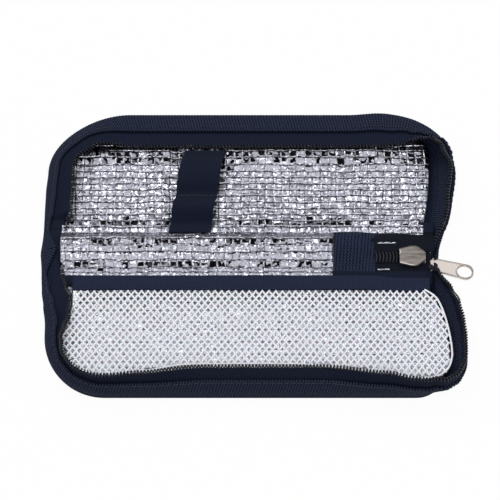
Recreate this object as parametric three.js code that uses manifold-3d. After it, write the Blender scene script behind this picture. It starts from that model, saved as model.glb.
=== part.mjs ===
// Insulin cooling case: a soft zip-around case lying open like a book.
// Millimetres, +Z up. X runs along the spine, Y from the tray (near half) to the lid (far half).
// The origin is the middle of the underside of the tray's outer panel.
import * as THREE from 'three';
import Module from 'manifold-3d';

// Case
const PANEL_LENGTH = 176;
const PANEL_WIDTH = 64.5;
const PANEL_THICKNESS = 1;
const SPINE_WIDTH = 25;
const FOLD_HEIGHT = 4.5;
const FOAM_THICKNESS = 2.6;
const FOIL_THICKNESS = 0.6;
const LINING_INSET = 5;
const HINGE_INSET = 1;
const TOUCH_GAP = 0.3;

// Corners of the two panels, each as a length along X and a length along Y
const TRAY_LEFT_CORNER_LENGTH = 27;
const TRAY_LEFT_CORNER_WIDTH = 33;
const TRAY_RIGHT_CORNER_LENGTH = 13;
const TRAY_RIGHT_CORNER_WIDTH = 16;
const LID_LEFT_CORNER_LENGTH = 36;
const LID_LEFT_CORNER_WIDTH = 32;
const LID_RIGHT_CORNER_LENGTH = 30;
const LID_RIGHT_CORNER_WIDTH = 22;
const PINCH_DEPTH = 4.5;
const PINCH_LENGTH = 36;

// Side walls: ribbed webbing below, zip tape above it, coil along the rim
const WEBBING_BELLY = 5;
const WEBBING_UPPER = 6;
const WEBBING_THICKNESS = 1.2;
const TAPE_SHOWN = 5;
const TAPE_THICKNESS = 0.6;
const TAPE_LAP_GAP = 0.4;
const COIL_WIDTH = 2.5;
const COIL_THICKNESS = 2;

// Mesh pocket over the tray
const POCKET_HEIGHT = 9.4;
const POCKET_LEFT_MARGIN = 12.5;
const POCKET_RIGHT_OVERHANG = 1;
const POCKET_NEAR_MARGIN = 2.9;
const POCKET_TOP_MARGIN = 4.6;
const POCKET_CORNER = 15;
const POCKET_LEFT_CORNER = 19;
const POCKET_UPPER_CORNER = 18;
const BINDING_WIDTH = 8;
const BINDING_RIGHT_MARGIN = 7;
const BINDING_THICKNESS = 1.2;
const NET_THICKNESS = 0.8;
const NET_STRAND = 0.9;
const NET_DIAMOND_LENGTH = 6;
const NET_DIAMOND_WIDTH = 8.2;
const NET_BORDER = 0.85;

// Spine
const SPINE_WEBBING_THICKNESS = 1.2;
const SPINE_ARCH_HEIGHT = 6.2;
const SPINE_OVERHANG = 3;
const FOIL_STRIP_LENGTH = 121;
const FOIL_STRIP_START = 6.2;
const GUSSET_LENGTH = 8.4;
const TAB_LENGTH = 18;
const TAB_THICKNESS = 1.2;

// Closed end of the zip, on the spine
const CHAIN_LENGTH = 10.3;
const CHAIN_WIDTH = 6.6;
const CHAIN_THICKNESS = 2.4;
const CHAIN_FROM_FOLD = 8.1;
const CHAIN_HEIGHT = 6.8;
const CHAIN_TILT = 15;
const TAIL_TAPE_LENGTH = 24;
const TAIL_TAPE_PLATEAU = 1.8;
const TAIL_TAPE_RISE = 1.4;

// Slider and pull
const SLIDER_LENGTH = 12.1;
const SLIDER_WIDTH = 9.8;
const SLIDER_REAR_WIDTH = 8.4;
const SLIDER_NOSE_WIDTH = 3.4;
const SLIDER_PLATE = 1;
const SLIDER_CHANNEL = 3;
const SLIDER_SLOT = 1.5;
const SLIDER_FLANGE = 0.6;
const POST_LENGTH = 2.5;
const POST_WIDTH = 2.6;
const POST_INSET = 0.9;
const BRIDGE_LENGTH = 8.4;
const BRIDGE_WIDTH = 2;
const BRIDGE_THICKNESS = 0.8;
const BRIDGE_CLEARANCE = 1.9;
const BRIDGE_NOSE_INSET = 1.7;
const PULL_LENGTH = 26.4;
const PULL_NECK_WIDTH = 5.4;
const PULL_WIDTH = 7.4;
const PULL_THICKNESS = 1.1;
const PULL_BAR = 1.1;
const PULL_BAR_GAP = 0.8;
const PULL_WINDOW_LENGTH = 5.2;
const PULL_WINDOW_WIDTH = 3.1;
const PULL_EYE_LENGTH = 6.7;
const PULL_EYE_WIDTH = 5.6;
const PULL_EYE_MARGIN = 0.8;
const PULL_YAW = -14.5;

// Pen loops in the lid
const STRAP_WIDTH = 18.6;
const STRAP_THICKNESS = 1;
const STRAP_CREST = 6.1;
const STRAP_NEAR_MARGIN = 2.6;
const STRAP_FAR_MARGIN = 19.5;
const STRAP_NEAR_X = -24.4;
const STRAP_SKEW = 6.6;
const STITCH_WIDTH = 0.8;
const STITCH_HEIGHT = 0.4;

const STRAP_LENGTH = PANEL_WIDTH - STRAP_NEAR_MARGIN - STRAP_FAR_MARGIN;
const FOLD_ONE_Y = PANEL_WIDTH / 2;
const FOLD_TWO_Y = FOLD_ONE_Y + SPINE_WIDTH;
const FOAM_BOTTOM = PANEL_THICKNESS + TOUCH_GAP;
const FOIL_BOTTOM = FOAM_BOTTOM + FOAM_THICKNESS + TOUCH_GAP;
const FOIL_TOP = FOIL_BOTTOM + FOIL_THICKNESS;
const SPINE_LEFT = -PANEL_LENGTH / 2 - SPINE_OVERHANG;
const FOIL_STRIP_LEFT = -PANEL_LENGTH / 2 + FOIL_STRIP_START;
const TAB_LEFT = FOIL_STRIP_LEFT + FOIL_STRIP_LENGTH + TOUCH_GAP;
const TAB_RIGHT = TAB_LEFT + TAB_LENGTH;
const CHAIN_LEFT = TAB_RIGHT + TOUCH_GAP;
const SLIDER_REAR = CHAIN_LEFT + CHAIN_LENGTH + TOUCH_GAP;

const wasm = await Module();
wasm.setup();

const NAVY = 0x1a2036;
const DARK_NAVY = 0x141826;
const ribbedWebbing = new THREE.MeshStandardMaterial({ color: NAVY, roughness: 0.9, metalness: 0 });
const wovenTape = new THREE.MeshStandardMaterial({ color: DARK_NAVY, roughness: 0.85, metalness: 0 });
const coilNylon = new THREE.MeshStandardMaterial({ color: DARK_NAVY, roughness: 0.45, metalness: 0 });
const outerCloth = new THREE.MeshStandardMaterial({ color: NAVY, roughness: 0.88, metalness: 0 });
const foam = new THREE.MeshStandardMaterial({ color: 0xe9e9ec, roughness: 0.95, metalness: 0 });
const foil = new THREE.MeshStandardMaterial({ color: 0xc9cad3, roughness: 0.25, metalness: 1 });
const whiteNet = new THREE.MeshStandardMaterial({ color: 0xe6e8f2, roughness: 0.6, metalness: 0 });
const zinc = new THREE.MeshStandardMaterial({ color: 0xb9bcc2, roughness: 0.3, metalness: 1 });
const nickel = new THREE.MeshStandardMaterial({ color: 0xd2cbc6, roughness: 0.28, metalness: 1 });

const radians = THREE.MathUtils.degToRad;

// Faces turned so that the closed body has a positive volume
function facingOut(positions, index) {
  let volume = 0;
  for (let at = 0; at < index.length; at += 3) {
    const [a, b, c] = [0, 1, 2].map((step) =>
      new THREE.Vector3().fromArray(positions, index[at + step] * 3));
    volume += a.dot(b.cross(c));
  }
  if (volume < 0) {
    index.reverse();
  }
  const geometry = new THREE.BufferGeometry();
  geometry.setAttribute('position', new THREE.Float32BufferAttribute(positions, 3));
  geometry.setIndex(index);
  geometry.computeVertexNormals();
  return geometry;
}

// Closed body through a row of matching sections. The first half of a section is one face of
// the sheet and the second half is its other face, run backwards.
function loft(sections) {
  const count = sections[0].length;
  const positions = sections.flat().flatMap((point) => point.toArray());
  const index = [];
  for (let row = 0; row + 1 < sections.length; row += 1) {
    for (let column = 0; column < count; column += 1) {
      const here = row * count + column;
      const beside = row * count + (column + 1) % count;
      index.push(here, beside, beside + count, here, beside + count, here + count);
    }
  }
  const last = (sections.length - 1) * count;
  for (let column = 0; column + 1 < count / 2; column += 1) {
    const across = count - 1 - column;
    index.push(column + 1, column, across, column + 1, across, across - 1);
    index.push(last + column, last + column + 1, last + across);
    index.push(last + column + 1, last + across - 1, last + across);
  }
  return facingOut(positions, index);
}

// The line moved sideways by a distance, with mitred corners
function offsetLine(points, distance) {
  const normals = points.slice(1).map((point, at) => {
    const along = point.clone().sub(points[at]).normalize();
    return new THREE.Vector2(along.y, -along.x);
  });
  return points.map((point, at) => {
    const before = normals[Math.max(at - 1, 0)];
    const after = normals[Math.min(at, normals.length - 1)];
    const miter = before.clone().add(after).normalize();
    return point.clone().addScaledVector(miter, distance / miter.dot(after));
  });
}

// Section of a bent sheet between two sideways distances from a line
function sheetSection(points, near, far) {
  return [...offsetLine(points, near), ...offsetLine(points, far).reverse()];
}

// Bent sheet of one section (Y, Z), run along X
function sheetAlongX(section, left, right) {
  return loft([left, right].map((x) => section.map((point) => new THREE.Vector3(x, point.x, point.y))));
}

// Flat plate between two heights, cut to an outline with holes
function plate(outline, bottom, top, holes = []) {
  const shape = new THREE.Shape(outline);
  shape.holes = holes.map((hole) => new THREE.Path(hole));
  const geometry = new THREE.ExtrudeGeometry(shape, { depth: top - bottom, bevelEnabled: false });
  return geometry.translate(0, 0, bottom);
}

// Points on part of an ellipse, from one angle to another in degrees
function ellipseArc(centre, lengthRadius, widthRadius, from, to, steps) {
  return Array.from({ length: steps + 1 }, (_, step) => {
    const angle = radians(THREE.MathUtils.lerp(from, to, step / steps));
    return new THREE.Vector2(
      centre.x + lengthRadius * Math.cos(angle),
      centre.y + widthRadius * Math.sin(angle),
    );
  });
}

// Solid for joining and cutting
function solid(geometry) {
  const merged = new Map();
  const vertices = [];
  const triangles = [];
  const flat = geometry.index ? geometry.toNonIndexed() : geometry;
  const places = flat.getAttribute('position');
  for (let at = 0; at < places.count; at += 1) {
    const point = [places.getX(at), places.getY(at), places.getZ(at)];
    const key = point.map((value) => value.toFixed(4)).join(' ');
    if (!merged.has(key)) {
      merged.set(key, vertices.length / 3);
      vertices.push(...point);
    }
    triangles.push(merged.get(key));
  }
  const mesh = new wasm.Mesh({
    numProp: 3,
    vertProperties: new Float32Array(vertices),
    triVerts: new Uint32Array(triangles),
  });
  return new wasm.Manifold(mesh);
}

function geometryOf(manifold) {
  const mesh = manifold.getMesh();
  return facingOut(Array.from(mesh.vertProperties), Array.from(mesh.triVerts));
}

// The two halves share one plan: reach is the distance from the fold towards the free edge
const tray = {
  leftCorner: [TRAY_LEFT_CORNER_LENGTH, TRAY_LEFT_CORNER_WIDTH],
  rightCorner: [TRAY_RIGHT_CORNER_LENGTH, TRAY_RIGHT_CORNER_WIDTH],
  place: (reach) => FOLD_ONE_Y - reach,
};
const lid = {
  leftCorner: [LID_LEFT_CORNER_LENGTH, LID_LEFT_CORNER_WIDTH],
  rightCorner: [LID_RIGHT_CORNER_LENGTH, LID_RIGHT_CORNER_WIDTH],
  place: (reach) => FOLD_TWO_Y + reach,
};

const SIDE_STEPS = 8;
const CORNER_STEPS = 18;
const FREE_EDGE_STEPS = 10;

// Edge of a half as (x, reach), from the left end of the fold round to its right end
function edgeOf(half, inset, hingeInset) {
  const [leftLength, leftWidth] = half.leftCorner.map((radius) => radius - inset);
  const [rightLength, rightWidth] = half.rightCorner.map((radius) => radius - inset);
  const end = PANEL_LENGTH / 2 - inset;
  const free = PANEL_WIDTH - inset;
  const leftSide = Array.from({ length: SIDE_STEPS }, (_, step) =>
    new THREE.Vector2(-end, THREE.MathUtils.lerp(hingeInset, free - leftWidth, step / SIDE_STEPS)));
  const leftCorner = ellipseArc(
    new THREE.Vector2(-end + leftLength, free - leftWidth), leftLength, leftWidth, 180, 90, CORNER_STEPS);
  const freeEdge = Array.from({ length: FREE_EDGE_STEPS - 1 }, (_, step) =>
    new THREE.Vector2(
      THREE.MathUtils.lerp(-end + leftLength, end - rightLength, (step + 1) / FREE_EDGE_STEPS), free));
  const rightCorner = ellipseArc(
    new THREE.Vector2(end - rightLength, free - rightWidth), rightLength, rightWidth, 90, 0, CORNER_STEPS);
  const rightSide = Array.from({ length: SIDE_STEPS }, (_, step) => {
    const reach = THREE.MathUtils.lerp(free - rightWidth, hingeInset, (step + 1) / SIDE_STEPS);
    const pinch = Math.max(0, 1 - reach / PINCH_LENGTH) ** 2;
    return new THREE.Vector2(end - PINCH_DEPTH * pinch, reach);
  });
  return [...leftSide, ...leftCorner, ...freeEdge, ...rightCorner, ...rightSide];
}

function halfPlate(half, inset, hingeInset, bottom, top) {
  const outline = edgeOf(half, inset, hingeInset).map((point) =>
    new THREE.Vector2(point.x, half.place(point.y)));
  return plate(outline, bottom, top);
}

// How a wall stands at a share of the way round its edge. The four leans, in degrees towards the
// inside, and the four stretch shares belong to belly, upper webbing, tape and coil.
const trayWallShares = [
  { share: 0, lean: [-28, 5, 20, 30], stretch: [0.6, 0.6, 0.6, 0.9] },
  { share: 0.027, lean: [-28, 12, 25, 30], stretch: [0.7, 0.7, 0.6, 0.9] },
  { share: 0.05, lean: [8, 42, 60, 55], stretch: [0.9, 0.9, 0.9, 1] },
  { share: 0.09, lean: [30, 48, 28, 40], stretch: [1, 1, 1, 1] },
  { share: 0.2, lean: [10, 35, 50, 40], stretch: [1, 1, 1, 1] },
  { share: 0.26, lean: [-10, 5, 15, 22], stretch: [0.9, 0.9, 0.95, 1] },
  { share: 0.34, lean: [-12, 0, 12, 22], stretch: [0.9, 0.9, 0.95, 1] },
  { share: 0.44, lean: [-10, 15, 50, 60], stretch: [1, 1, 1, 1] },
  { share: 0.6, lean: [-10, 15, 50, 60], stretch: [1, 1, 1, 1] },
  { share: 0.7, lean: [-20, 5, 22, 34], stretch: [0.95, 0.95, 0.97, 1] },
  { share: 0.77, lean: [-58, -10, 8, 18], stretch: [1.2, 1, 1, 1] },
  { share: 0.83, lean: [-50, -30, -18, -10], stretch: [1.1, 1, 1, 1] },
  { share: 0.88, lean: [-36, -34, -30, -26], stretch: [1, 1, 1, 1] },
  { share: 0.93, lean: [-26, -24, -22, -20], stretch: [0.95, 0.95, 0.9, 1] },
  { share: 0.97, lean: [-16, -12, -8, -4], stretch: [0.65, 0.65, 0.65, 0.95] },
  { share: 1, lean: [-22, -22, -20, -20], stretch: [0.45, 0.45, 0.5, 0.9] },
];
const lidWallShares = [
  { share: 0, lean: [-28, 5, 20, 30], stretch: [0.6, 0.6, 0.6, 0.9] },
  { share: 0.027, lean: [-30, 10, 25, 30], stretch: [0.7, 0.7, 0.6, 0.9] },
  { share: 0.05, lean: [-24, 30, 55, 55], stretch: [0.9, 0.9, 0.9, 1] },
  { share: 0.1, lean: [-8, 38, 62, 60], stretch: [1, 1, 1, 1] },
  { share: 0.2, lean: [0, 65, 75, 75], stretch: [1.15, 1.4, 1.1, 1] },
  { share: 0.31, lean: [-12, 90, 90, 90], stretch: [1.36, 1.9, 1.2, 1] },
  { share: 0.66, lean: [-12, 90, 90, 90], stretch: [1.36, 1.9, 1.2, 1] },
  { share: 0.72, lean: [-36, 82, 86, 86], stretch: [1.3, 1.5, 1.1, 1] },
  { share: 0.78, lean: [-56, 68, 80, 80], stretch: [1.2, 1, 0.9, 0.9] },
  { share: 0.82, lean: [-50, 15, 40, 50], stretch: [1.1, 1, 0.9, 0.9] },
  { share: 0.87, lean: [-48, -18, 20, 30], stretch: [1.05, 1.1, 0.95, 1] },
  { share: 0.95, lean: [-52, -42, 22, 30], stretch: [0.95, 1, 0.85, 0.95] },
  { share: 1, lean: [-55, -50, 10, 20], stretch: [0.7, 0.75, 0.5, 0.9] },
];
const WALL_LENGTHS = [WEBBING_BELLY, WEBBING_UPPER, TAPE_SHOWN, COIL_WIDTH];
const TAPE_TUCK_SHARE = 0.3;

// Leans and stretches between the two nearest entries of a table of shares
function wallStance(table, share) {
  const next = Math.max(1, table.findIndex((entry) => entry.share >= share - Number.EPSILON));
  const [from, to] = [table[next - 1], table[next]];
  const mix = THREE.MathUtils.smoothstep(share, from.share, to.share);
  const blend = (key) => from[key].map((value, at) => THREE.MathUtils.lerp(value, to[key][at], mix));
  return { lean: blend('lean'), stretch: blend('stretch') };
}

// Outer face of the wall as (inward, z): its foot, belly, webbing edge, tape edge and rim
function wallLine(stance) {
  const points = [new THREE.Vector2(0, PANEL_THICKNESS + TOUCH_GAP)];
  WALL_LENGTHS.forEach((length, at) => {
    const run = length * stance.stretch[at];
    const lean = radians(stance.lean[at]);
    const step = new THREE.Vector2(Math.sin(lean), Math.cos(lean)).multiplyScalar(run);
    points.push(points.at(-1).clone().add(step));
  });
  return points;
}

const TAPE_DEPTH = WEBBING_THICKNESS + TAPE_LAP_GAP;
const COIL_DEPTH = TAPE_DEPTH + (TAPE_THICKNESS - COIL_THICKNESS) / 2;
const wallLayers = {
  webbing: ([foot, belly, webbingEdge]) => {
    const section = sheetSection([foot, belly, webbingEdge], 0, WEBBING_THICKNESS);
    const along = belly.clone().sub(foot).normalize();
    section.at(-1).set(foot.x + WEBBING_THICKNESS / along.y, foot.y);
    return section;
  },
  tape: ([, belly, webbingEdge, tapeEdge]) => {
    const tuck = webbingEdge.clone().lerp(belly, TAPE_TUCK_SHARE);
    return sheetSection([tuck, webbingEdge, tapeEdge], TAPE_DEPTH, TAPE_DEPTH + TAPE_THICKNESS);
  },
  coil: ([, , webbingEdge, tapeEdge, rim]) => {
    const tapeRun = tapeEdge.clone().sub(webbingEdge).normalize();
    const coilRun = rim.clone().sub(tapeEdge).normalize();
    const start = tapeEdge.clone().addScaledVector(tapeRun, TOUCH_GAP);
    const aside = (spot, run, depth) =>
      new THREE.Vector2(spot.x + run.y * depth, spot.y - run.x * depth);
    const far = COIL_DEPTH + COIL_THICKNESS;
    return [
      aside(start, tapeRun, COIL_DEPTH), aside(rim, coilRun, COIL_DEPTH),
      aside(rim, coilRun, far), aside(start, tapeRun, far),
    ];
  },
};

// One layer of a wall, swept round the edge of a half
function wall(half, table, layer) {
  const edge = edgeOf(half, 0, TOUCH_GAP);
  const lengths = [0];
  edge.slice(1).forEach((point, at) => lengths.push(lengths[at] + point.distanceTo(edge[at])));
  const sections = edge.map((point, at) => {
    const before = edge[Math.max(at - 1, 0)];
    const after = edge[Math.min(at + 1, edge.length - 1)];
    const along = after.clone().sub(before).normalize();
    const inward = new THREE.Vector2(along.y, -along.x);
    if (at === 0 || at === edge.length - 1) {
      inward.set(Math.sign(-point.x), 0);
    }
    const line = wallLine(wallStance(table, lengths[at] / lengths.at(-1)));
    return wallLayers[layer](line).map((spot) => {
      const place = point.clone().addScaledVector(inward, spot.x);
      return new THREE.Vector3(place.x, half.place(place.y), spot.y);
    });
  });
  return loft(sections);
}

// Mesh pocket: outline, and diamond gaps that lie clear of its border
function pocketOutline() {
  const left = -PANEL_LENGTH / 2 + POCKET_LEFT_MARGIN;
  const right = PANEL_LENGTH / 2 + POCKET_RIGHT_OVERHANG;
  const near = -FOLD_ONE_Y + POCKET_NEAR_MARGIN;
  const top = FOLD_ONE_Y - POCKET_TOP_MARGIN - BINDING_WIDTH - TOUCH_GAP;
  const corner = (x, y, radius, from, to) =>
    ellipseArc(new THREE.Vector2(x, y), radius, radius, from, to, CORNER_STEPS / 2);
  return [
    new THREE.Vector2(left, top),
    ...corner(left + POCKET_LEFT_CORNER, near + POCKET_LEFT_CORNER, POCKET_LEFT_CORNER, 180, 270),
    ...corner(right - POCKET_CORNER, near + POCKET_CORNER, POCKET_CORNER, 270, 360),
    ...corner(right - POCKET_UPPER_CORNER, top - POCKET_UPPER_CORNER, POCKET_UPPER_CORNER, 0, 90),
  ];
}

function clearOf(outline, point, distance) {
  let inside = false;
  let nearest = Infinity;
  outline.forEach((from, at) => {
    const to = outline[(at + 1) % outline.length];
    if ((from.y > point.y) !== (to.y > point.y)) {
      const crossing = from.x + (to.x - from.x) * (point.y - from.y) / (to.y - from.y);
      inside = point.x < crossing ? !inside : inside;
    }
    const line = new THREE.Line3(new THREE.Vector3(from.x, from.y, 0), new THREE.Vector3(to.x, to.y, 0));
    const spot = new THREE.Vector3(point.x, point.y, 0);
    const closest = line.closestPointToPoint(spot, true, new THREE.Vector3());
    nearest = Math.min(nearest, closest.distanceTo(spot));
  });
  return inside && nearest >= distance;
}

function pocketNet() {
  const outline = pocketOutline();
  const box = new THREE.Box2().setFromPoints(outline);
  const halfLength = NET_DIAMOND_LENGTH / 2;
  const halfWidth = NET_DIAMOND_WIDTH / 2;
  const edgeDistance = halfLength * halfWidth / Math.hypot(halfLength, halfWidth);
  const openShare = 1 - NET_STRAND / 2 / edgeDistance;
  const holes = [];
  for (let row = 1; box.min.y + row * halfWidth < box.max.y; row += 1) {
    const shift = row % 2 === 0 ? 0 : halfLength;
    for (let x = box.min.x + halfLength + shift; x < box.max.x; x += NET_DIAMOND_LENGTH) {
      const centre = new THREE.Vector2(x, box.min.y + row * halfWidth);
      const gap = ellipseArc(centre, halfLength * openShare, halfWidth * openShare, 0, 270, 3);
      if (gap.every((point) => clearOf(outline, point, NET_BORDER))) {
        holes.push(gap);
      }
    }
  }
  return plate(outline, POCKET_HEIGHT, POCKET_HEIGHT + NET_THICKNESS, holes);
}

function pocketBinding() {
  const left = -PANEL_LENGTH / 2 + POCKET_LEFT_MARGIN;
  const right = PANEL_LENGTH / 2 - BINDING_RIGHT_MARGIN;
  const top = FOLD_ONE_Y - POCKET_TOP_MARGIN;
  const middle = POCKET_HEIGHT + NET_THICKNESS / 2;
  const section = sheetSection(
    [new THREE.Vector2(top, middle), new THREE.Vector2(top - BINDING_WIDTH, middle)],
    -BINDING_THICKNESS / 2, BINDING_THICKNESS / 2);
  return sheetAlongX(section, left, right);
}

// Spine: top of the foil arch as shares of the spine's width and of the arch's height
const archShares = [[0.03, 0], [0.16, 0.2], [0.32, 0.52], [0.46, 0.88], [0.56, 1], [0.68, 0.92],
  [0.82, 0.5], [0.95, 0]];
const ARCH_FOOT = FOLD_HEIGHT + FOIL_THICKNESS;
const archTop = archShares.map(([across, up]) =>
  new THREE.Vector2(FOLD_ONE_Y + SPINE_WIDTH * across, ARCH_FOOT + SPINE_ARCH_HEIGHT * up));

function spineFoam() {
  const top = offsetLine(archTop, FOIL_THICKNESS + TOUCH_GAP);
  const floor = top.map((point) => new THREE.Vector2(point.x, SPINE_WEBBING_THICKNESS + TOUCH_GAP));
  return sheetAlongX([...top, ...floor.reverse()], FOIL_STRIP_LEFT, TAB_RIGHT);
}

function spineFoil() {
  const section = sheetSection(archTop, 0, FOIL_THICKNESS);
  return sheetAlongX(section, FOIL_STRIP_LEFT, FOIL_STRIP_LEFT + FOIL_STRIP_LENGTH);
}

const TAB_POINTS = 5;
function zipEndTab() {
  const section = sheetSection(archTop.slice(0, TAB_POINTS), FOIL_THICKNESS - TAB_THICKNESS, FOIL_THICKNESS);
  return sheetAlongX(section, TAB_LEFT, TAB_RIGHT);
}

function spineWebbing() {
  const outline = [
    new THREE.Vector2(SPINE_LEFT, FOLD_ONE_Y + TOUCH_GAP),
    new THREE.Vector2(TAB_RIGHT, FOLD_ONE_Y + TOUCH_GAP),
    new THREE.Vector2(TAB_RIGHT, FOLD_TWO_Y - TOUCH_GAP),
    new THREE.Vector2(SPINE_LEFT, FOLD_TWO_Y - TOUCH_GAP),
  ];
  return plate(outline, 0, SPINE_WEBBING_THICKNESS);
}

// Ribbed end strip, rolled up over the left end of the spine; its line is (x, z)
const gussetShares = [[0, 0], [0.18, 0.62], [0.5, 1], [1, 1]];
function spineGusset() {
  const foot = SPINE_WEBBING_THICKNESS + TOUCH_GAP + WEBBING_THICKNESS;
  const rise = FOLD_HEIGHT - foot;
  const line = gussetShares.map(([along, up]) =>
    new THREE.Vector2(SPINE_LEFT + GUSSET_LENGTH * along, foot + rise * up));
  const section = sheetSection(line, 0, WEBBING_THICKNESS);
  const ends = [FOLD_ONE_Y + TOUCH_GAP, FOLD_TWO_Y - TOUCH_GAP];
  return loft(ends.map((y) => section.map((point) => new THREE.Vector3(point.x, y, point.y))));
}

// A place on the closed zip's plane as (y, z), by its distance across from the middle of the chain
function acrossChain(distance) {
  return new THREE.Vector2(
    FOLD_ONE_Y + CHAIN_FROM_FOLD + distance * Math.cos(radians(CHAIN_TILT)),
    CHAIN_HEIGHT + distance * Math.sin(radians(CHAIN_TILT)),
  );
}

const TAIL_TAPE_START = CHAIN_WIDTH / 2 + TOUCH_GAP;
function tailTape(line) {
  const section = sheetSection(line, -TAPE_THICKNESS / 2, TAPE_THICKNESS / 2);
  return sheetAlongX(section, CHAIN_LEFT, CHAIN_LEFT + TAIL_TAPE_LENGTH);
}

function trayTailTape() {
  const slotEnd = acrossChain(-TAIL_TAPE_START - TAIL_TAPE_PLATEAU);
  const foldEnd = new THREE.Vector2(FOLD_ONE_Y + HINGE_INSET, FOLD_HEIGHT);
  return tailTape([foldEnd, slotEnd, acrossChain(-TAIL_TAPE_START)]);
}

// The far tape passes over a low crest on its way down to the lid
const TAIL_CREST_SHARE = 0.4;
function lidTailTape() {
  const slotEnd = acrossChain(TAIL_TAPE_START + TAIL_TAPE_PLATEAU);
  const foldEnd = new THREE.Vector2(FOLD_TWO_Y - HINGE_INSET, FOLD_HEIGHT);
  const crest = slotEnd.clone().lerp(foldEnd, TAIL_CREST_SHARE);
  crest.y = slotEnd.y + TAIL_TAPE_RISE;
  return tailTape([acrossChain(TAIL_TAPE_START), slotEnd, crest, foldEnd]);
}

// Box between two corners
function block(from, to) {
  const size = to.clone().sub(from);
  const middle = from.clone().add(to).multiplyScalar(1 / 2);
  return new THREE.BoxGeometry(size.x, size.y, size.z).translate(middle.x, middle.y, middle.z);
}

// Chain and slider in the zip's own plane: x along the zip, y across, z away from the pull
function closedChain() {
  return block(
    new THREE.Vector3(CHAIN_LEFT, -CHAIN_WIDTH / 2, -CHAIN_THICKNESS / 2),
    new THREE.Vector3(CHAIN_LEFT + CHAIN_LENGTH, CHAIN_WIDTH / 2, CHAIN_THICKNESS / 2),
  );
}

// Slider outline: flat rear, widest past the middle, blunt nose; shares of its length and width
const sliderShares = [[0, 0], [0.3, 0.55], [0.58, 1], [0.74, 0.78]];
function sliderOutline(inset) {
  const side = sliderShares.map(([along, widening]) => new THREE.Vector2(
    SLIDER_REAR + inset / 2 + (SLIDER_LENGTH - inset) * along,
    THREE.MathUtils.lerp(SLIDER_REAR_WIDTH, SLIDER_WIDTH, widening) / 2 - inset,
  ));
  side.push(new THREE.Vector2(SLIDER_REAR + SLIDER_LENGTH - inset, SLIDER_NOSE_WIDTH / 2));
  const mirrored = side.map((point) => new THREE.Vector2(point.x, -point.y)).reverse();
  return [...mirrored, ...side];
}

const PLATE_OUTER = SLIDER_CHANNEL / 2 + SLIDER_PLATE;
const PLATE_OVERLAP_SHARE = 0.5;
function sliderBody() {
  const outline = sliderOutline(0);
  const overlap = SLIDER_PLATE * PLATE_OVERLAP_SHARE;
  const postEnd = SLIDER_REAR + SLIDER_LENGTH - POST_INSET;
  const post = block(
    new THREE.Vector3(postEnd - POST_LENGTH, -POST_WIDTH / 2, -SLIDER_CHANNEL / 2 - overlap),
    new THREE.Vector3(postEnd, POST_WIDTH / 2, SLIDER_CHANNEL / 2 + overlap),
  );
  const full = solid(plate(outline, -PLATE_OUTER, PLATE_OUTER));
  const cavity = solid(plate(sliderOutline(SLIDER_FLANGE), -SLIDER_CHANNEL / 2, SLIDER_CHANNEL / 2));
  const channelSide = SLIDER_REAR_WIDTH / 2 - SLIDER_FLANGE;
  const throughCut = block(
    new THREE.Vector3(SLIDER_REAR - SLIDER_LENGTH, -channelSide, -SLIDER_CHANNEL / 2),
    new THREE.Vector3(SLIDER_REAR + SLIDER_LENGTH, channelSide, SLIDER_CHANNEL / 2),
  );
  const slotCut = block(
    new THREE.Vector3(SLIDER_REAR - SLIDER_LENGTH, -SLIDER_WIDTH, -SLIDER_SLOT / 2),
    new THREE.Vector3(SLIDER_REAR + 2 * SLIDER_LENGTH, SLIDER_WIDTH, SLIDER_SLOT / 2),
  );
  const noseCut = block(
    new THREE.Vector3(postEnd - POST_LENGTH, -SLIDER_WIDTH, -SLIDER_CHANNEL / 2),
    new THREE.Vector3(SLIDER_REAR + 2 * SLIDER_LENGTH, SLIDER_WIDTH, SLIDER_CHANNEL / 2),
  );
  const hollow = [solid(throughCut), solid(slotCut), solid(noseCut)]
    .reduce((rest, cutter) => rest.subtract(cutter), full.subtract(cavity));
  return geometryOf(hollow.add(solid(post)));
}

// Bridge on the pull's side of the slider: a low arch that the pull's bar runs under
const bridgeShares = [[0, 0], [0.1, 1], [0.9, 1], [1, 0]];
function sliderBridge() {
  const right = SLIDER_REAR + SLIDER_LENGTH - BRIDGE_NOSE_INSET;
  const foot = -PLATE_OUTER - TOUCH_GAP;
  const drop = BRIDGE_CLEARANCE + BRIDGE_THICKNESS;
  const line = bridgeShares.map(([along, down]) =>
    new THREE.Vector2(right - BRIDGE_LENGTH * (1 - along), foot - drop * down));
  const section = sheetSection(line, -BRIDGE_THICKNESS, 0);
  const sides = [-BRIDGE_WIDTH / 2, BRIDGE_WIDTH / 2];
  return loft(sides.map((y) => section.map((point) => new THREE.Vector3(point.x, y, point.y))));
}

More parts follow.
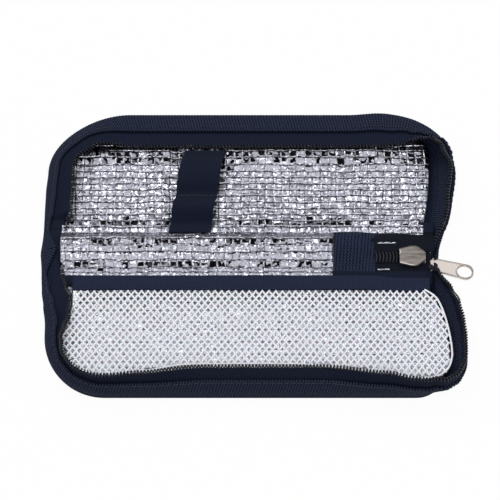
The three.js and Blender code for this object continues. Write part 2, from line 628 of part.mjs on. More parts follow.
// Pull in its own frame: the bar that it turns on lies at the origin, along y
function pullTab() {
  const neck = PULL_NECK_WIDTH / 2;
  const corner = PULL_WIDTH / 2;
  const rear = -PULL_BAR / 2;
  const tip = PULL_LENGTH + rear;
  const outline = [
    new THREE.Vector2(rear, -neck),
    ...ellipseArc(new THREE.Vector2(tip - corner, 0), corner, corner, -90, 90, CORNER_STEPS),
    new THREE.Vector2(rear, neck),
  ];
  const windowEnd = PULL_BAR / 2 + PULL_WINDOW_LENGTH;
  const windowHole = [
    new THREE.Vector2(PULL_BAR / 2, -PULL_WINDOW_WIDTH / 2),
    new THREE.Vector2(windowEnd, -PULL_WINDOW_WIDTH / 2),
    new THREE.Vector2(windowEnd, PULL_WINDOW_WIDTH / 2),
    new THREE.Vector2(PULL_BAR / 2, PULL_WINDOW_WIDTH / 2),
  ];
  const eyeCentre = new THREE.Vector2(tip - PULL_EYE_MARGIN - PULL_EYE_LENGTH / 2, 0);
  const eye = ellipseArc(eyeCentre, PULL_EYE_LENGTH / 2, PULL_EYE_WIDTH / 2, 0, 360, 2 * CORNER_STEPS);
  return plate(outline, -PULL_THICKNESS / 2, PULL_THICKNESS / 2, [windowHole, eye.slice(1)]);
}

// Pen loops: shares along the strap from the hinge side, and of the loops' height
const strapShares = [[0, 0], [0.04, 0.03], [0.1, 0.5], [0.16, 0.87], [0.22, 1], [0.28, 0.87],
  [0.34, 0.5], [0.4, 0.03], [0.46, 0.03], [0.52, 0.5], [0.6, 0.87], [0.69, 1], [0.79, 0.87],
  [0.88, 0.45], [0.95, 0.03], [1, 0]];
const STRAP_SEAM_SHARE = 0.43;
const STRAP_SEAM_HEIGHT_SHARE = 0.03;
const STRAP_FOOT = FOLD_TWO_Y + STRAP_NEAR_MARGIN;

function strapPoint(along, up) {
  return new THREE.Vector3(
    STRAP_NEAR_X + STRAP_SKEW * along,
    STRAP_FOOT + STRAP_LENGTH * along,
    FOIL_TOP + TOUCH_GAP + STRAP_CREST * up,
  );
}

function penLoopStrap() {
  const line = strapShares.map(([along, up]) => {
    const point = strapPoint(along, up);
    return new THREE.Vector2(point.y, point.z);
  });
  const over = offsetLine(line, -STRAP_THICKNESS);
  const sections = strapShares.map(([along, up], at) => {
    const middle = strapPoint(along, up).x;
    const corners = [
      [-STRAP_WIDTH / 2, line[at]], [STRAP_WIDTH / 2, line[at]],
      [STRAP_WIDTH / 2, over[at]], [-STRAP_WIDTH / 2, over[at]],
    ];
    return corners.map(([aside, spot]) => new THREE.Vector3(middle + aside, spot.x, spot.y));
  });
  return loft(sections);
}

function strapStitching() {
  const seam = strapPoint(STRAP_SEAM_SHARE, STRAP_SEAM_HEIGHT_SHARE);
  const bottom = seam.z + STRAP_THICKNESS + TOUCH_GAP / 2;
  return block(
    new THREE.Vector3(seam.x - STRAP_WIDTH / 2, seam.y - STITCH_WIDTH / 2, bottom),
    new THREE.Vector3(seam.x + STRAP_WIDTH / 2, seam.y + STITCH_WIDTH / 2, bottom + STITCH_HEIGHT),
  );
}

const group = new THREE.Group();
function add(parent, name, geometry, material) {
  const mesh = new THREE.Mesh(geometry, material);
  mesh.name = name;
  parent.add(mesh);
}

// Tray
add(group, 'tray_outer_panel', halfPlate(tray, 0, TOUCH_GAP, 0, PANEL_THICKNESS), outerCloth);
add(group, 'tray_foam_board',
  halfPlate(tray, LINING_INSET, HINGE_INSET, FOAM_BOTTOM, FOAM_BOTTOM + FOAM_THICKNESS), foam);
add(group, 'tray_foil_lining', halfPlate(tray, LINING_INSET, HINGE_INSET, FOIL_BOTTOM, FOIL_TOP), foil);
add(group, 'tray_wall_webbing', wall(tray, trayWallShares, 'webbing'), ribbedWebbing);
add(group, 'tray_zip_tape', wall(tray, trayWallShares, 'tape'), wovenTape);
add(group, 'tray_zip_coil', wall(tray, trayWallShares, 'coil'), coilNylon);
add(group, 'pocket_mesh', pocketNet(), whiteNet);
add(group, 'pocket_binding', pocketBinding(), wovenTape);

// Spine
add(group, 'spine_outer_webbing', spineWebbing(), ribbedWebbing);
add(group, 'spine_foam_core', spineFoam(), foam);
add(group, 'spine_foil_lining', spineFoil(), foil);
add(group, 'spine_end_gusset', spineGusset(), ribbedWebbing);
add(group, 'zip_end_tab', zipEndTab(), ribbedWebbing);
add(group, 'tray_side_tail_tape', trayTailTape(), wovenTape);
add(group, 'lid_side_tail_tape', lidTailTape(), wovenTape);

// Lid
add(group, 'lid_outer_panel', halfPlate(lid, 0, TOUCH_GAP, 0, PANEL_THICKNESS), outerCloth);
add(group, 'lid_foam_board',
  halfPlate(lid, LINING_INSET, HINGE_INSET, FOAM_BOTTOM, FOAM_BOTTOM + FOAM_THICKNESS), foam);
add(group, 'lid_foil_lining', halfPlate(lid, LINING_INSET, HINGE_INSET, FOIL_BOTTOM, FOIL_TOP), foil);
add(group, 'lid_wall_webbing', wall(lid, lidWallShares, 'webbing'), ribbedWebbing);
add(group, 'lid_zip_tape', wall(lid, lidWallShares, 'tape'), wovenTape);
add(group, 'lid_zip_coil', wall(lid, lidWallShares, 'coil'), coilNylon);
add(group, 'pen_loop_strap', penLoopStrap(), wovenTape);
add(group, 'pen_loop_stitching', strapStitching(), wovenTape);

// Closed zip, slider and pull, in the tilted plane of the zip
const zipPlane = new THREE.Group();
zipPlane.position.set(0, acrossChain(0).x, acrossChain(0).y);
zipPlane.rotation.x = radians(CHAIN_TILT);
group.add(zipPlane);
add(zipPlane, 'closed_zip_chain', closedChain(), coilNylon);
add(zipPlane, 'slider_body', sliderBody(), zinc);
add(zipPlane, 'slider_bridge', sliderBridge(), zinc);

const pullPivot = new THREE.Group();
pullPivot.position.set(
  SLIDER_REAR + SLIDER_LENGTH - BRIDGE_NOSE_INSET - BRIDGE_THICKNESS - PULL_BAR_GAP - PULL_BAR / 2,
  0,
  -PLATE_OUTER - TOUCH_GAP - BRIDGE_CLEARANCE / 2,
);
pullPivot.rotation.z = radians(PULL_YAW);
zipPlane.add(pullPivot);
add(pullPivot, 'pull_tab', pullTab(), nickel);

export default group;
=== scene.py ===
import math

import bmesh
import bpy
import numpy as np
from mathutils import Matrix, Vector


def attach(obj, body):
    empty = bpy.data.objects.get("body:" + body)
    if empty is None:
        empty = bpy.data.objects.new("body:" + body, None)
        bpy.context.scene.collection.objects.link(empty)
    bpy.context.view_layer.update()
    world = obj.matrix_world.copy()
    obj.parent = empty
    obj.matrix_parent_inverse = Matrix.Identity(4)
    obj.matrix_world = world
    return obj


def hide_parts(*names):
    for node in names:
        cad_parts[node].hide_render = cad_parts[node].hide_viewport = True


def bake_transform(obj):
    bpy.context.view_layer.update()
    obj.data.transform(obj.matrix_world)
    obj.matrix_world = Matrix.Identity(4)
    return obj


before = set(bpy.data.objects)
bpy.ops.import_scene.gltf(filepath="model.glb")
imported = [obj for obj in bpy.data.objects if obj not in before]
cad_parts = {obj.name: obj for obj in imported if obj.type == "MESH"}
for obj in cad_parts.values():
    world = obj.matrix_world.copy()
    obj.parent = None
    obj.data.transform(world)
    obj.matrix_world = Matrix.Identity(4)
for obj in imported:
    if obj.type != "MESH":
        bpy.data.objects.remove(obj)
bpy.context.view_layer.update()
scene = bpy.context.scene

# Sizes in millimetres, as the solids have them
MM = 0.001
PANEL_LENGTH = 176
PANEL_WIDTH = 64.5
PANEL_THICKNESS = 1
SPINE_WIDTH = 25
FOLD_HEIGHT = 4.5
FOAM_BOTTOM = 1.3
FOIL_THICKNESS = 0.6
FOIL_BOTTOM = 4.2
LINING_INSET = 5
HINGE_INSET = 1
PINCH_DEPTH = 4.5
PINCH_LENGTH = 36
FOLD_ONE_Y = PANEL_WIDTH / 2
FOLD_TWO_Y = FOLD_ONE_Y + SPINE_WIDTH
WALL_LENGTHS = (5, 6, 5, 2.5)
WEBBING_THICKNESS = 1.2
TAPE_THICKNESS = 0.6
TAPE_MIDDLE = 1.9
TAPE_TUCK = 0.3
COIL_WIDTH = 2.5
COIL_THICKNESS = 2
TOOTH_PITCH = 1.47
SCRIM_PITCH = 3.56
SPINE_LEFT = -91
FOIL_STRIP_LEFT = -81.8
FOIL_STRIP_RIGHT = 39.2
TAB_LEFT = 39.5
TAB_RIGHT = 57.5
CHAIN_LEFT = 57.8
CHAIN_RIGHT = 68.1
CHAIN_Y = FOLD_ONE_Y + 8.1
CHAIN_HEIGHT = 6.8
CHAIN_TILT = 15
SLIDER_REAR = 68.4
SLIDER_LENGTH = 12.1

# Corners of each half, as lengths along X and Y, and the way its reach runs from its fold
TRAY = {"left": (27, 33), "right": (13, 16), "fold": FOLD_ONE_Y, "way": -1}
LID = {"left": (36, 32), "right": (30, 22), "fold": FOLD_TWO_Y, "way": 1}
HALVES = {"tray": TRAY, "lid": LID}

# How a wall stands at a share of the way round: four leans in degrees, four stretches
TRAY_WALL = (
    (0, (-40, 45, 80, 84), (0.78, 0.55, 1, 1.6)),
    (0.03, (-34, 50, 74, 76), (0.8, 0.75, 1.1, 1.6)),
    (0.06, (-16, 52, 70, 62), (0.9, 1, 1.15, 1.3)),
    (0.1, (8, 55, 40, 40), (0.9, 1, 0.95, 1)),
    (0.13, (2, 55, 22, 20), (0.9, 0.95, 0.9, 1)),
    (0.155, (-4, 48, 5, 5), (0.9, 0.9, 0.85, 1)),
    (0.19, (-12, 35, -5, -5), (0.85, 0.8, 0.78, 1)),
    (0.22, (-16, 28, -8, -8), (0.82, 0.78, 0.74, 0.95)),
    (0.275, (-18, 20, -5, 0), (0.82, 0.78, 0.74, 0.95)),
    (0.325, (-14, 10, 5, 10), (0.88, 0.85, 0.85, 1)),
    (0.44, (-10, 15, 50, 60), (1, 1, 1, 1)),
    (0.6, (-10, 15, 50, 60), (1, 1, 1, 1)),
    (0.7, (-22, 2, 14, 24), (0.95, 0.95, 0.95, 1)),
    (0.75, (-26, -16, 0, 8), (0.95, 0.95, 0.95, 1)),
    (0.77, (-36, -22, -4, 0), (0.98, 0.96, 0.95, 1)),
    (0.785, (-52, -42, -6, 0), (1.05, 1, 1, 1)),
    (0.8, (-58, -52, -6, 0), (1.1, 1.05, 1, 1)),
    (0.82, (-60, -54, -4, 2), (1.12, 1.1, 1, 1)),
    (0.86, (-60, -54, -4, 2), (1.12, 1.1, 1, 1)),
    (0.885, (-56, -52, -4, 2), (1.1, 1.05, 1, 1)),
    (0.918, (-50, -46, -6, 0), (1, 0.98, 0.95, 1)),
    (0.952, (-52, -48, 0, 8), (0.85, 0.8, 0.7, 0.95)),
    (0.985, (-45, -38, 0, 5), (0.6, 0.58, 0.5, 0.95)),
    (1, (-35, -28, -10, -10), (0.5, 0.48, 0.45, 0.9)),
)
LID_WALL = (
    (0, (-36, 50, 82, 86), (0.72, 0.6, 1.05, 1.6)),
    (0.014, (-34, 50, 80, 84), (0.74, 0.66, 1.08, 1.6)),
    (0.025, (-30, 48, 61, 68), (0.82, 0.92, 1.28, 1.55)),
    (0.07, (-22, 52, 64, 64), (0.95, 1.05, 1.2, 1.2)),
    (0.12, (-8, 52, 68, 66), (1, 1.05, 1, 1)),
    (0.2, (0, 65, 75, 75), (1.15, 1.4, 1.1, 1)),
    (0.31, (-12, 90, 90, 90), (1.36, 1.9, 1.2, 1)),
    (0.66, (-12, 90, 90, 90), (1.36, 1.9, 1.2, 1)),
    (0.73, (-36, 88, 90, 90), (1.34, 2.05, 1.35, 1)),
    (0.775, (-52, 80, 84, 84), (1.3, 1.7, 1.2, 1)),
    (0.795, (-54, 66, 74, 74), (1.25, 1.4, 1.1, 1)),
    (0.816, (-56, 45, 58, 60), (1.2, 1.1, 1, 1)),
    (0.832, (-58, 15, 45, 55), (1.2, 1, 1, 1)),
    (0.855, (-58, -5, 30, 40), (1.2, 1, 1, 1)),
    (0.898, (-54, -28, 6, 16), (1.12, 1, 1, 1)),
    (0.942, (-52, -38, 10, 20), (0.95, 0.9, 0.85, 0.9)),
    (0.972, (-55, -50, 0, 10), (0.85, 0.8, 0.7, 0.9)),
    (1, (-57, -52, -3, 12), (0.78, 0.75, 0.5, 0.9)),
)

# Places up a wall, as numbers of its corners
FOOT, WEBBING_EDGE, TAPE_EDGE, RIM = 0, 2, 3, 4


def added(name, data):
    """New object in the scene."""
    made = bpy.data.objects.new(name, data)
    scene.collection.objects.link(made)
    return made


# Camera, at the photograph's angle
VIEW_TARGET = (2.4, 46, 5)
VIEW_ELEVATION = 52
VIEW_DISTANCE = 2200
lens = bpy.data.cameras.new("camera")
lens.lens = 356
lens.sensor_width = 36
lens.clip_start = 0.1
lens.clip_end = 20
camera = added("camera", lens)
tilt = math.radians(VIEW_ELEVATION)
camera.location = (Vector(VIEW_TARGET) + VIEW_DISTANCE * Vector((0, -math.cos(tilt), math.sin(tilt)))) * MM
camera.rotation_euler = (math.pi / 2 - tilt, 0, 0)
scene.camera = camera
scene.view_settings.view_transform = "Standard"


# Noise and ramps on arrays
def ramp(values, low, high):
    share = np.clip((values - low) / (high - low), 0, 1)
    return share * share * (3 - 2 * share)


def cloud(x, y, size, seed):
    """Smooth noise from -1 to 1, with features of about that size in millimetres."""
    table = np.random.default_rng(seed).uniform(-1, 1, (256, 256))
    column, row = np.asarray(x) / size, np.asarray(y) / size
    i, j = np.floor(column).astype(int), np.floor(row).astype(int)
    across, up = ramp(column - i, 0, 1), ramp(row - j, 0, 1)
    near = table[i % 256, j % 256] * (1 - across) + table[(i + 1) % 256, j % 256] * across
    far = table[i % 256, (j + 1) % 256] * (1 - across) + table[(i + 1) % 256, (j + 1) % 256] * across
    return near * (1 - up) + far * up


# Node trees and materials
def linear(code):
    channels = [int(code[at:at + 2], 16) / 255 for at in (1, 3, 5)]
    return (*((c / 12.92 if c <= 0.04045 else ((c + 0.055) / 1.055) ** 2.4) for c in channels), 1)


def node(tree, kind, inputs=(), **settings):
    """Adds a node with its settings. Its inputs go by place or by name, and each is a value, a link, or
    a node whose first output is linked."""
    made = tree.nodes.new(kind)
    for key, value in settings.items():
        setattr(made, key, value)
    for key, value in inputs.items() if isinstance(inputs, dict) else enumerate(inputs):
        source = value.outputs[0] if isinstance(value, bpy.types.Node) else value
        if isinstance(source, bpy.types.NodeSocket):
            tree.links.new(source, made.inputs[key])
        else:
            made.inputs[key].default_value = source
    return made


def new_material(name):
    """Material without nodes, and its tree."""
    material = bpy.data.materials.new(name)
    material.use_nodes = True
    material.node_tree.nodes.clear()
    return material, material.node_tree


def surfaced(tree, low, high, share, height, strength, depth, values):
    """Principled shader between two colours, by a share, over bumps of a depth in millimetres."""
    colour = node(tree, "ShaderNodeMix", {0: share, 6: linear(low), 7: linear(high)}, data_type="RGBA")
    bump = node(tree, "ShaderNodeBump", {"Strength": strength, "Distance": depth * MM, "Height": height})
    shader = node(tree, "ShaderNodeBsdfPrincipled", {
        "Base Color": colour.outputs[2], "Normal": bump, **values})
    node(tree, "ShaderNodeOutputMaterial", {"Surface": shader})


def woven_finish(name, low, high, along_pitch, across_pitch, skew, depth, roughness):
    """Dyed polyester yarn: matt, with a faint sheen. Its colour holds painted light and shade: each yarn is
    painted lighter on its crown as a painted highlight and dark in its gaps as painted shade, over some
    random tone from noise. The yarns cross at two pitches on a UV map in millimetres."""
    material, tree = new_material(name)
    place = node(tree, "ShaderNodeSeparateXYZ", (node(tree, "ShaderNodeTexCoord").outputs["UV"],))
    u, v = place.outputs[:2]
    slanted = node(tree, "ShaderNodeMath", (v, skew, u), operation="MULTIPLY_ADD")
    waves = []
    for distance, pitch in ((slanted, along_pitch), (v, across_pitch)):
        turns = node(tree, "ShaderNodeMath", (distance, 2 * math.pi / pitch), operation="MULTIPLY")
        waves.append(node(tree, "ShaderNodeMath", (turns,), operation="SINE"))
    crossed = node(tree, "ShaderNodeMath", waves, operation="MULTIPLY")
    crown = node(tree, "ShaderNodeMath", (crossed, 0.45, 0.9), operation="MULTIPLY_ADD")
    flat_place = node(tree, "ShaderNodeCombineXYZ", (u, v))
    fuzz = node(tree, "ShaderNodeTexNoise", {"Vector": flat_place, "Scale": 1.3, "Detail": 3.0})
    mixed = node(tree, "ShaderNodeMath", (fuzz, 0.5, crown), operation="MULTIPLY_ADD")
    # Painted shade in the gaps between yarns, and a painted highlight on their crowns
    above_gap = node(tree, "ShaderNodeMath", (mixed, 0.25), operation="SUBTRACT")
    painted_crown_light = node(tree, "ShaderNodeMath", (above_gap, 4.0), operation="POWER")
    surfaced(tree, low, high, painted_crown_light, mixed, 0.7, depth, {
        "Roughness": roughness, "Specular IOR Level": 0.1, "Sheen Weight": 0.01, "Sheen Roughness": 0.45})
    return material


# Grosgrain polyester webbing: slanted cords 1.3 mm apart catch the light as dots
CORD_PITCH, CORD_CROSSING, CORD_SKEW, CORD_HEIGHT = 1.3, 2.3, 0.3, 0.1
webbing_finish = woven_finish("ribbed_polyester_webbing", "#000001", "#2d344b", CORD_PITCH, CORD_CROSSING,
                              CORD_SKEW, 0.5, 0.85)
# Polyester zip tape: a fine flat twill, drawn at 0.8 mm so that it still shows
TWILL = (0.8, 1.6, 0.5, 0.08)
tape_finish = woven_finish("woven_polyester_zip_tape", "#070a13", "#1a2136", *TWILL, 0.8)
# Binding tape of the pocket: the same twill, a little paler where it is rolled over the edge
binding_finish = woven_finish("woven_polyester_binding_tape", "#0b0e18", "#293049", *TWILL, 0.8)
# The same tape beside the chain, made darker: painted shade of the hollow round the chain and the slider
shaded_finish = woven_finish("polyester_zip_tape_painted_shade", "#030408", "#121724", *TWILL, 0.7)
# Ribbed tab webbing: coarser slanted cords, 1.5 mm apart
tab_finish = woven_finish("corded_polyester_tab", "#010204", "#2c344c", 1.5, 2.6, 0.5, 0.4, 0.85)
# Oxford polyester on the outside: small square basket weave
cloth_finish = woven_finish("oxford_polyester_cloth", "#0a0e1a", "#232b42", 1.0, 1.0, 0.0, 0.15, 0.85)


def plain_finish(name, low, high, size_mm, depth, roughness, streak=1.0, **values):
    """Finish without a weave: soft mottling and a fine bump, both in object space. A small streak draws
    the mottling out along X."""
    material, tree = new_material(name)
    place = node(tree, "ShaderNodeTexCoord").outputs["Object"]
    drawn_out = node(tree, "ShaderNodeVectorMath", (place, (streak, 1, 1)), operation="MULTIPLY")
    mottle = node(tree, "ShaderNodeTexNoise", {
        "Vector": drawn_out, "Scale": 1 / (size_mm * MM), "Detail": 4.0, "Roughness": 0.6})
    shading = {key.replace("_", " "): value for key, value in values.items()}
    surfaced(tree, low, high, mottle, mottle, 0.6, depth, {"Roughness": roughness, **shading})
    return material


# Extruded nylon monofilament: smooth, dark and a little glossy
coil_finish = plain_finish("nylon_coil_monofilament", "#0a0d16", "#171d2b", 1.0, 0.02, 0.4,
                           Specular_IOR_Level=0.45)
# Navy bonded sewing thread: a soft sheen
thread_finish = plain_finish("polyester_sewing_thread", "#0e1322", "#232b42", 0.5, 0.05, 0.65,
                             Sheen_Weight=0.05)
# White knitted nylon yarn: bright and slightly see-through at its edges
net_finish = plain_finish("knitted_nylon_mesh", "#eceef8", "#fbfbff", 0.6, 0.04, 0.5, Sheen_Weight=0.15,
                          Specular_IOR_Level=0.45, Subsurface_Weight=0.12, Subsurface_Scale=0.0006)
# Closed-cell polyethylene foam: fine pale cells
foam_finish = plain_finish("closed_cell_polyethylene_foam", "#d6d7da", "#ededf0", 0.8, 0.15, 0.9)

# Width of a crease facet in the foil
FACET_SIZE = 1.4


def film_finish(name, bright, dark, roughness):
    """Aluminised film over a woven scrim: flat creased facets, bumps where the film dips into the scrim's
    lines, and painted dark reflection in thin dashes along those lines and on whole squares. Distances come
    from a UV map in millimetres."""
    material, tree = new_material(name)
    place = node(tree, "ShaderNodeTexCoord").outputs["UV"]
    drift = node(tree, "ShaderNodeTexNoise", {"Vector": place, "Scale": 0.09, "Detail": 2.0})
    spot = node(tree, "ShaderNodeVectorMath", (drift.outputs["Color"], (2.6, 2.6, 0), place),
                operation="MULTIPLY_ADD")
    parted = node(tree, "ShaderNodeSeparateXYZ", (spot,))
    to_column, to_row = [node(tree, "ShaderNodeMath", (way, SCRIM_PITCH / 2), operation="PINGPONG")
                         for way in parted.outputs[:2]]

    # Each facet tips its own way
    facet = node(tree, "ShaderNodeTexVoronoi", {
        "Vector": spot, "Scale": 1 / FACET_SIZE, "Randomness": 1.0}, voronoi_dimensions="2D")
    centre = node(tree, "ShaderNodeVectorMath", {0: facet.outputs["Position"], 3: FACET_SIZE},
                  operation="SCALE")
    offset = node(tree, "ShaderNodeVectorMath", (spot, centre), operation="SUBTRACT")
    lean = node(tree, "ShaderNodeVectorMath", (facet.outputs["Color"], (0.5, 0.5, 0.5)),
                operation="SUBTRACT")
    plane = node(tree, "ShaderNodeVectorMath", (offset, lean), operation="DOT_PRODUCT")
    dips = [node(tree, "ShaderNodeMapRange", (away, 0.0, width, 0.0, depth),
                 interpolation_type="SMOOTHSTEP")
            for away, width, depth in ((to_row, 0.75, 0.42), (to_column, 0.6, 0.2))]
    dipped = node(tree, "ShaderNodeMath", dips, operation="ADD")
    height = node(tree, "ShaderNodeMath", (plane.outputs["Value"], 0.5, dipped), operation="MULTIPLY_ADD")

    # Painted dark reflection: dark dashes along some stretches of the scrim's lines, where the film dips
    patch = node(tree, "ShaderNodeTexNoise", {
        "Vector": spot, "Scale": 0.6, "Detail": 2.0, "Roughness": 0.7}, noise_dimensions="2D")
    chosen = node(tree, "ShaderNodeMapRange", (patch, 0.46, 0.62, 0.0, 1.0))
    thin = node(tree, "ShaderNodeMapRange", (to_row, 0.2, 0.5, 1.0, 0.0))
    thinner = node(tree, "ShaderNodeMapRange", (to_column, 0.1, 0.4, 0.45, 0.0))
    line = node(tree, "ShaderNodeMath", (thin, thinner), operation="MAXIMUM")
    painted_dark_dashes = node(tree, "ShaderNodeMath", (chosen, line), operation="MULTIPLY")

    # Whole squares painted dark, a painted dark reflection as if they tipped away, where the piece's own
    # attribute makes them likely
    square = node(tree, "ShaderNodeVectorMath", (spot, (SCRIM_PITCH, SCRIM_PITCH, 1)), operation="SNAP")
    own = node(tree, "ShaderNodeTexWhiteNoise", {"Vector": square}, noise_dimensions="2D")
    likely = node(tree, "ShaderNodeAttribute", attribute_name="painted_dark_odds").outputs["Fac"]
    odds = node(tree, "ShaderNodeMath", (likely, 0.8), operation="MULTIPLY")
    painted_dark_squares = node(tree, "ShaderNodeMath", (own, odds), operation="LESS_THAN")
    hue = node(tree, "ShaderNodeSeparateXYZ", (facet.outputs["Color"],))
    torn = node(tree, "ShaderNodeMapRange", (hue, 0.25, 0.45, 0.15, 1.0))
    to_line = node(tree, "ShaderNodeMath", (to_row, to_column), operation="MINIMUM")
    inside = node(tree, "ShaderNodeMapRange", (to_line, 0.2, 0.5, 0.0, 1.0))
    for part in (torn, inside):
        painted_dark_squares = node(tree, "ShaderNodeMath", (painted_dark_squares, part), operation="MULTIPLY")
    painted_dark_reflection = node(tree, "ShaderNodeMath", (painted_dark_dashes, painted_dark_squares), operation="MAXIMUM")
    surfaced(tree, bright, dark, painted_dark_reflection, height, 1.0, 1.0, {"Metallic": 1.0, "Roughness": roughness})
    return material


# Bright film, and a near black for its painted dark reflection
foil_finish = film_finish("crinkled_aluminised_film", "#c2c3cf", "#120f12", 0.33)
# The same film behind the net, where the white yarn's light fills its dark lines
pocket_foil_finish = film_finish("crinkled_aluminised_film_in_pocket", "#f8f9ff", "#94959f", 0.38)
# Die-cast zinc, barrel-tumbled and nickel-plated: grey mottling from near black to pale, drawn out along X.
# Its dark bands are painted shade and painted reflection as well as the plate's own mottling
zinc_finish = plain_finish("nickel_plated_zinc_painted_shade", "#0c0a0a", "#c4bbb6", 1.5, 0.05, 0.33, 0.15,
                           Metallic=1.0)
# Satin nickel plate on the pull: warmer, fine polishing haze
nickel_finish = plain_finish("satin_nickel_plate", "#dad0ca", "#ebe1db", 0.9, 0.012, 0.34, Metallic=1.0)
# Rim of the pull: the same plate in a darker mottled tone
rim_finish = plain_finish("darker_nickel_rim", "#8d857f", "#cbc2bc", 0.5, 0.02, 0.28, Metallic=1.0)


# Making meshes
def mesh_of(name, points, edges, faces):
    """Mesh from points in millimetres."""
    mesh = bpy.data.meshes.new(name)
    mesh.from_pydata((np.asarray(points, float) * MM).tolist(), edges, faces)
    return mesh


def turn_outwards(mesh, merge=0.0):
    """Turns the faces outwards, after points within a distance in millimetres are merged."""
    shape = bmesh.new()
    shape.from_mesh(mesh)
    if merge:
        bmesh.ops.remove_doubles(shape, verts=shape.verts, dist=merge * MM)
    bmesh.ops.recalc_face_normals(shape, faces=shape.faces)
    shape.to_mesh(mesh)
    shape.free()


def smooth(mesh):
    mesh.polygons.foreach_set("use_smooth", [True] * len(mesh.polygons))


def piece_of(name, points, faces, finish, uv=None):
    """Smooth mesh object in one finish, with a UV map where its pattern follows the surface."""
    mesh = mesh_of(name, points, [], faces)
    turn_outwards(mesh)
    smooth(mesh)
    if uv is not None:
        corner_points = np.zeros(len(mesh.loops), int)
        mesh.loops.foreach_get("vertex_index", corner_points)
        layer = mesh.uv_layers.new(name="cloth_mm")
        layer.data.foreach_set("uv", np.asarray(uv, float)[corner_points].ravel())
    mesh.materials.append(finish)
    mesh.update()
    return added(name, mesh)


def grid_faces(rows, columns, start=0):
    at = start + np.arange((rows - 1) * columns).reshape(rows - 1, columns)[:, :-1]
    return np.stack([at, at + 1, at + columns + 1, at + columns], -1).reshape(-1, 4)


def border_of(rows, columns):
    """Point numbers round the border of a grid, in order."""
    at = np.arange(rows * columns).reshape(rows, columns)
    return np.concatenate([at[0, :-1], at[:-1, -1], at[-1, :0:-1], at[:0:-1, 0]])


def unit(vectors):
    return vectors / np.maximum(np.linalg.norm(vectors, axis=-1, keepdims=True), 1e-9)


def normals_of(middle):
    return unit(np.cross(np.gradient(middle, axis=0), np.gradient(middle, axis=1)))


def run_of(middle):
    """Distances along both ways of a grid, in millimetres."""
    along = np.linalg.norm(np.diff(middle, axis=0), axis=-1).mean(1)
    across = np.linalg.norm(np.diff(middle, axis=1), axis=-1).mean(0)
    u = np.concatenate([[0], np.cumsum(along)])
    v = np.concatenate([[0], np.cumsum(across)])
    return np.meshgrid(u, v, indexing="ij")


def grid_of(x, y, z):
    """Points from coordinates that are spread over one grid."""
    return np.stack(np.broadcast_arrays(x, y, z), -1).astype(float)


def flat_grid(left, right, near, far, height, pitch):
    x = np.arange(left, right + pitch / 2, pitch)
    y = np.arange(near, far + pitch / 2, pitch)
    return grid_of(x[:, None], y, height)


def upward(grid):
    """Normals of a grid, on its upper side."""
    normals = normals_of(grid)
    return normals * np.sign(normals[..., 2:].mean())


def to_border(u, v):
    """Distance of each point to the nearest border of its grid."""
    return np.minimum(np.minimum(u, u[-1:] - u), np.minimum(v, v[:, -1:] - v))


# Lines
def length_along(line):
    return np.concatenate([[0], np.cumsum(np.linalg.norm(np.diff(line, axis=0), axis=1))])


def picked(line, places, marks):
    """Points of a line at some places, where its own points stand at those marks."""
    return np.stack([np.interp(places, marks, column) for column in np.transpose(line)], -1)


def evenly(line, count):
    """The line with that many points, evenly along its length."""
    length = length_along(line)
    return picked(line, np.linspace(0, length[-1], count), length)


def bell(reach, width):
    kernel = np.exp(-0.5 * (np.arange(-reach, reach + 1) / width) ** 2)
    return kernel / kernel.sum()


def blurred(values, kernel):
    """Values averaged with a kernel, with their ends held."""
    return np.convolve(np.pad(values, len(kernel) // 2, mode="edge"), kernel, "valid")


SMOOTH_REACH = 12


def softened(lines, softness):
    """Lines of points smoothed along their last way but one, with their ends kept."""
    first = 2 * lines[..., :1, :] - lines[..., SMOOTH_REACH:0:-1, :]
    last = 2 * lines[..., -1:, :] - lines[..., -2:-SMOOTH_REACH - 2:-1, :]
    longer = np.concatenate([first, lines, last], -2)
    count = lines.shape[-2]
    return sum(weight * longer[..., at:at + count, :]
               for at, weight in enumerate(bell(SMOOTH_REACH, softness)))


LINE_POINTS = 161


def soft_line(corners, steps, softness=5, start=0.0, end=1.0):
    """Smooth line near some corners, between two shares of its length."""
    line = softened(evenly(corners, LINE_POINTS), softness)
    return picked(line, np.linspace(start, end, steps), np.linspace(0, 1, LINE_POINTS))


# How far in a sheet's edge is rounded, and the share of its thickness that it keeps there
EDGE_ROUND = 0.5
EDGE_SHARE = 0.25


def sheet_piece(name, middle, thickness, finish, relief=None, floor=None):
    """Closed sheet of cloth about a middle surface, with rounded edges. Relief is a height that both
    faces get, from the distances along and across in millimetres."""
    rows, columns = middle.shape[:2]
    u, v = run_of(middle)
    short = 1 - np.clip(to_border(u, v) / EDGE_ROUND, 0, 1)
    half = thickness / 2 * np.maximum(np.sqrt(1 - short ** 2), EDGE_SHARE)
    lift = relief(u, v) if relief else 0
    out = normals_of(middle) * (half + lift)[..., None]
    points = np.concatenate([(middle + out).reshape(-1, 3), (middle - out).reshape(-1, 3)])
    if floor is not None:
        points[:, 2] = np.maximum(points[:, 2], floor)
    count = rows * columns
    border = border_of(rows, columns)
    after = np.roll(border, -1)
    rim = np.stack([border, after, after + count, border + count], -1)
    faces = np.concatenate([grid_faces(rows, columns), grid_faces(rows, columns, count)[:, ::-1], rim])
    uv = np.tile(np.stack([u.ravel(), v.ravel()], -1), (2, 1))
    return piece_of(name, points, faces.tolist(), finish, uv)


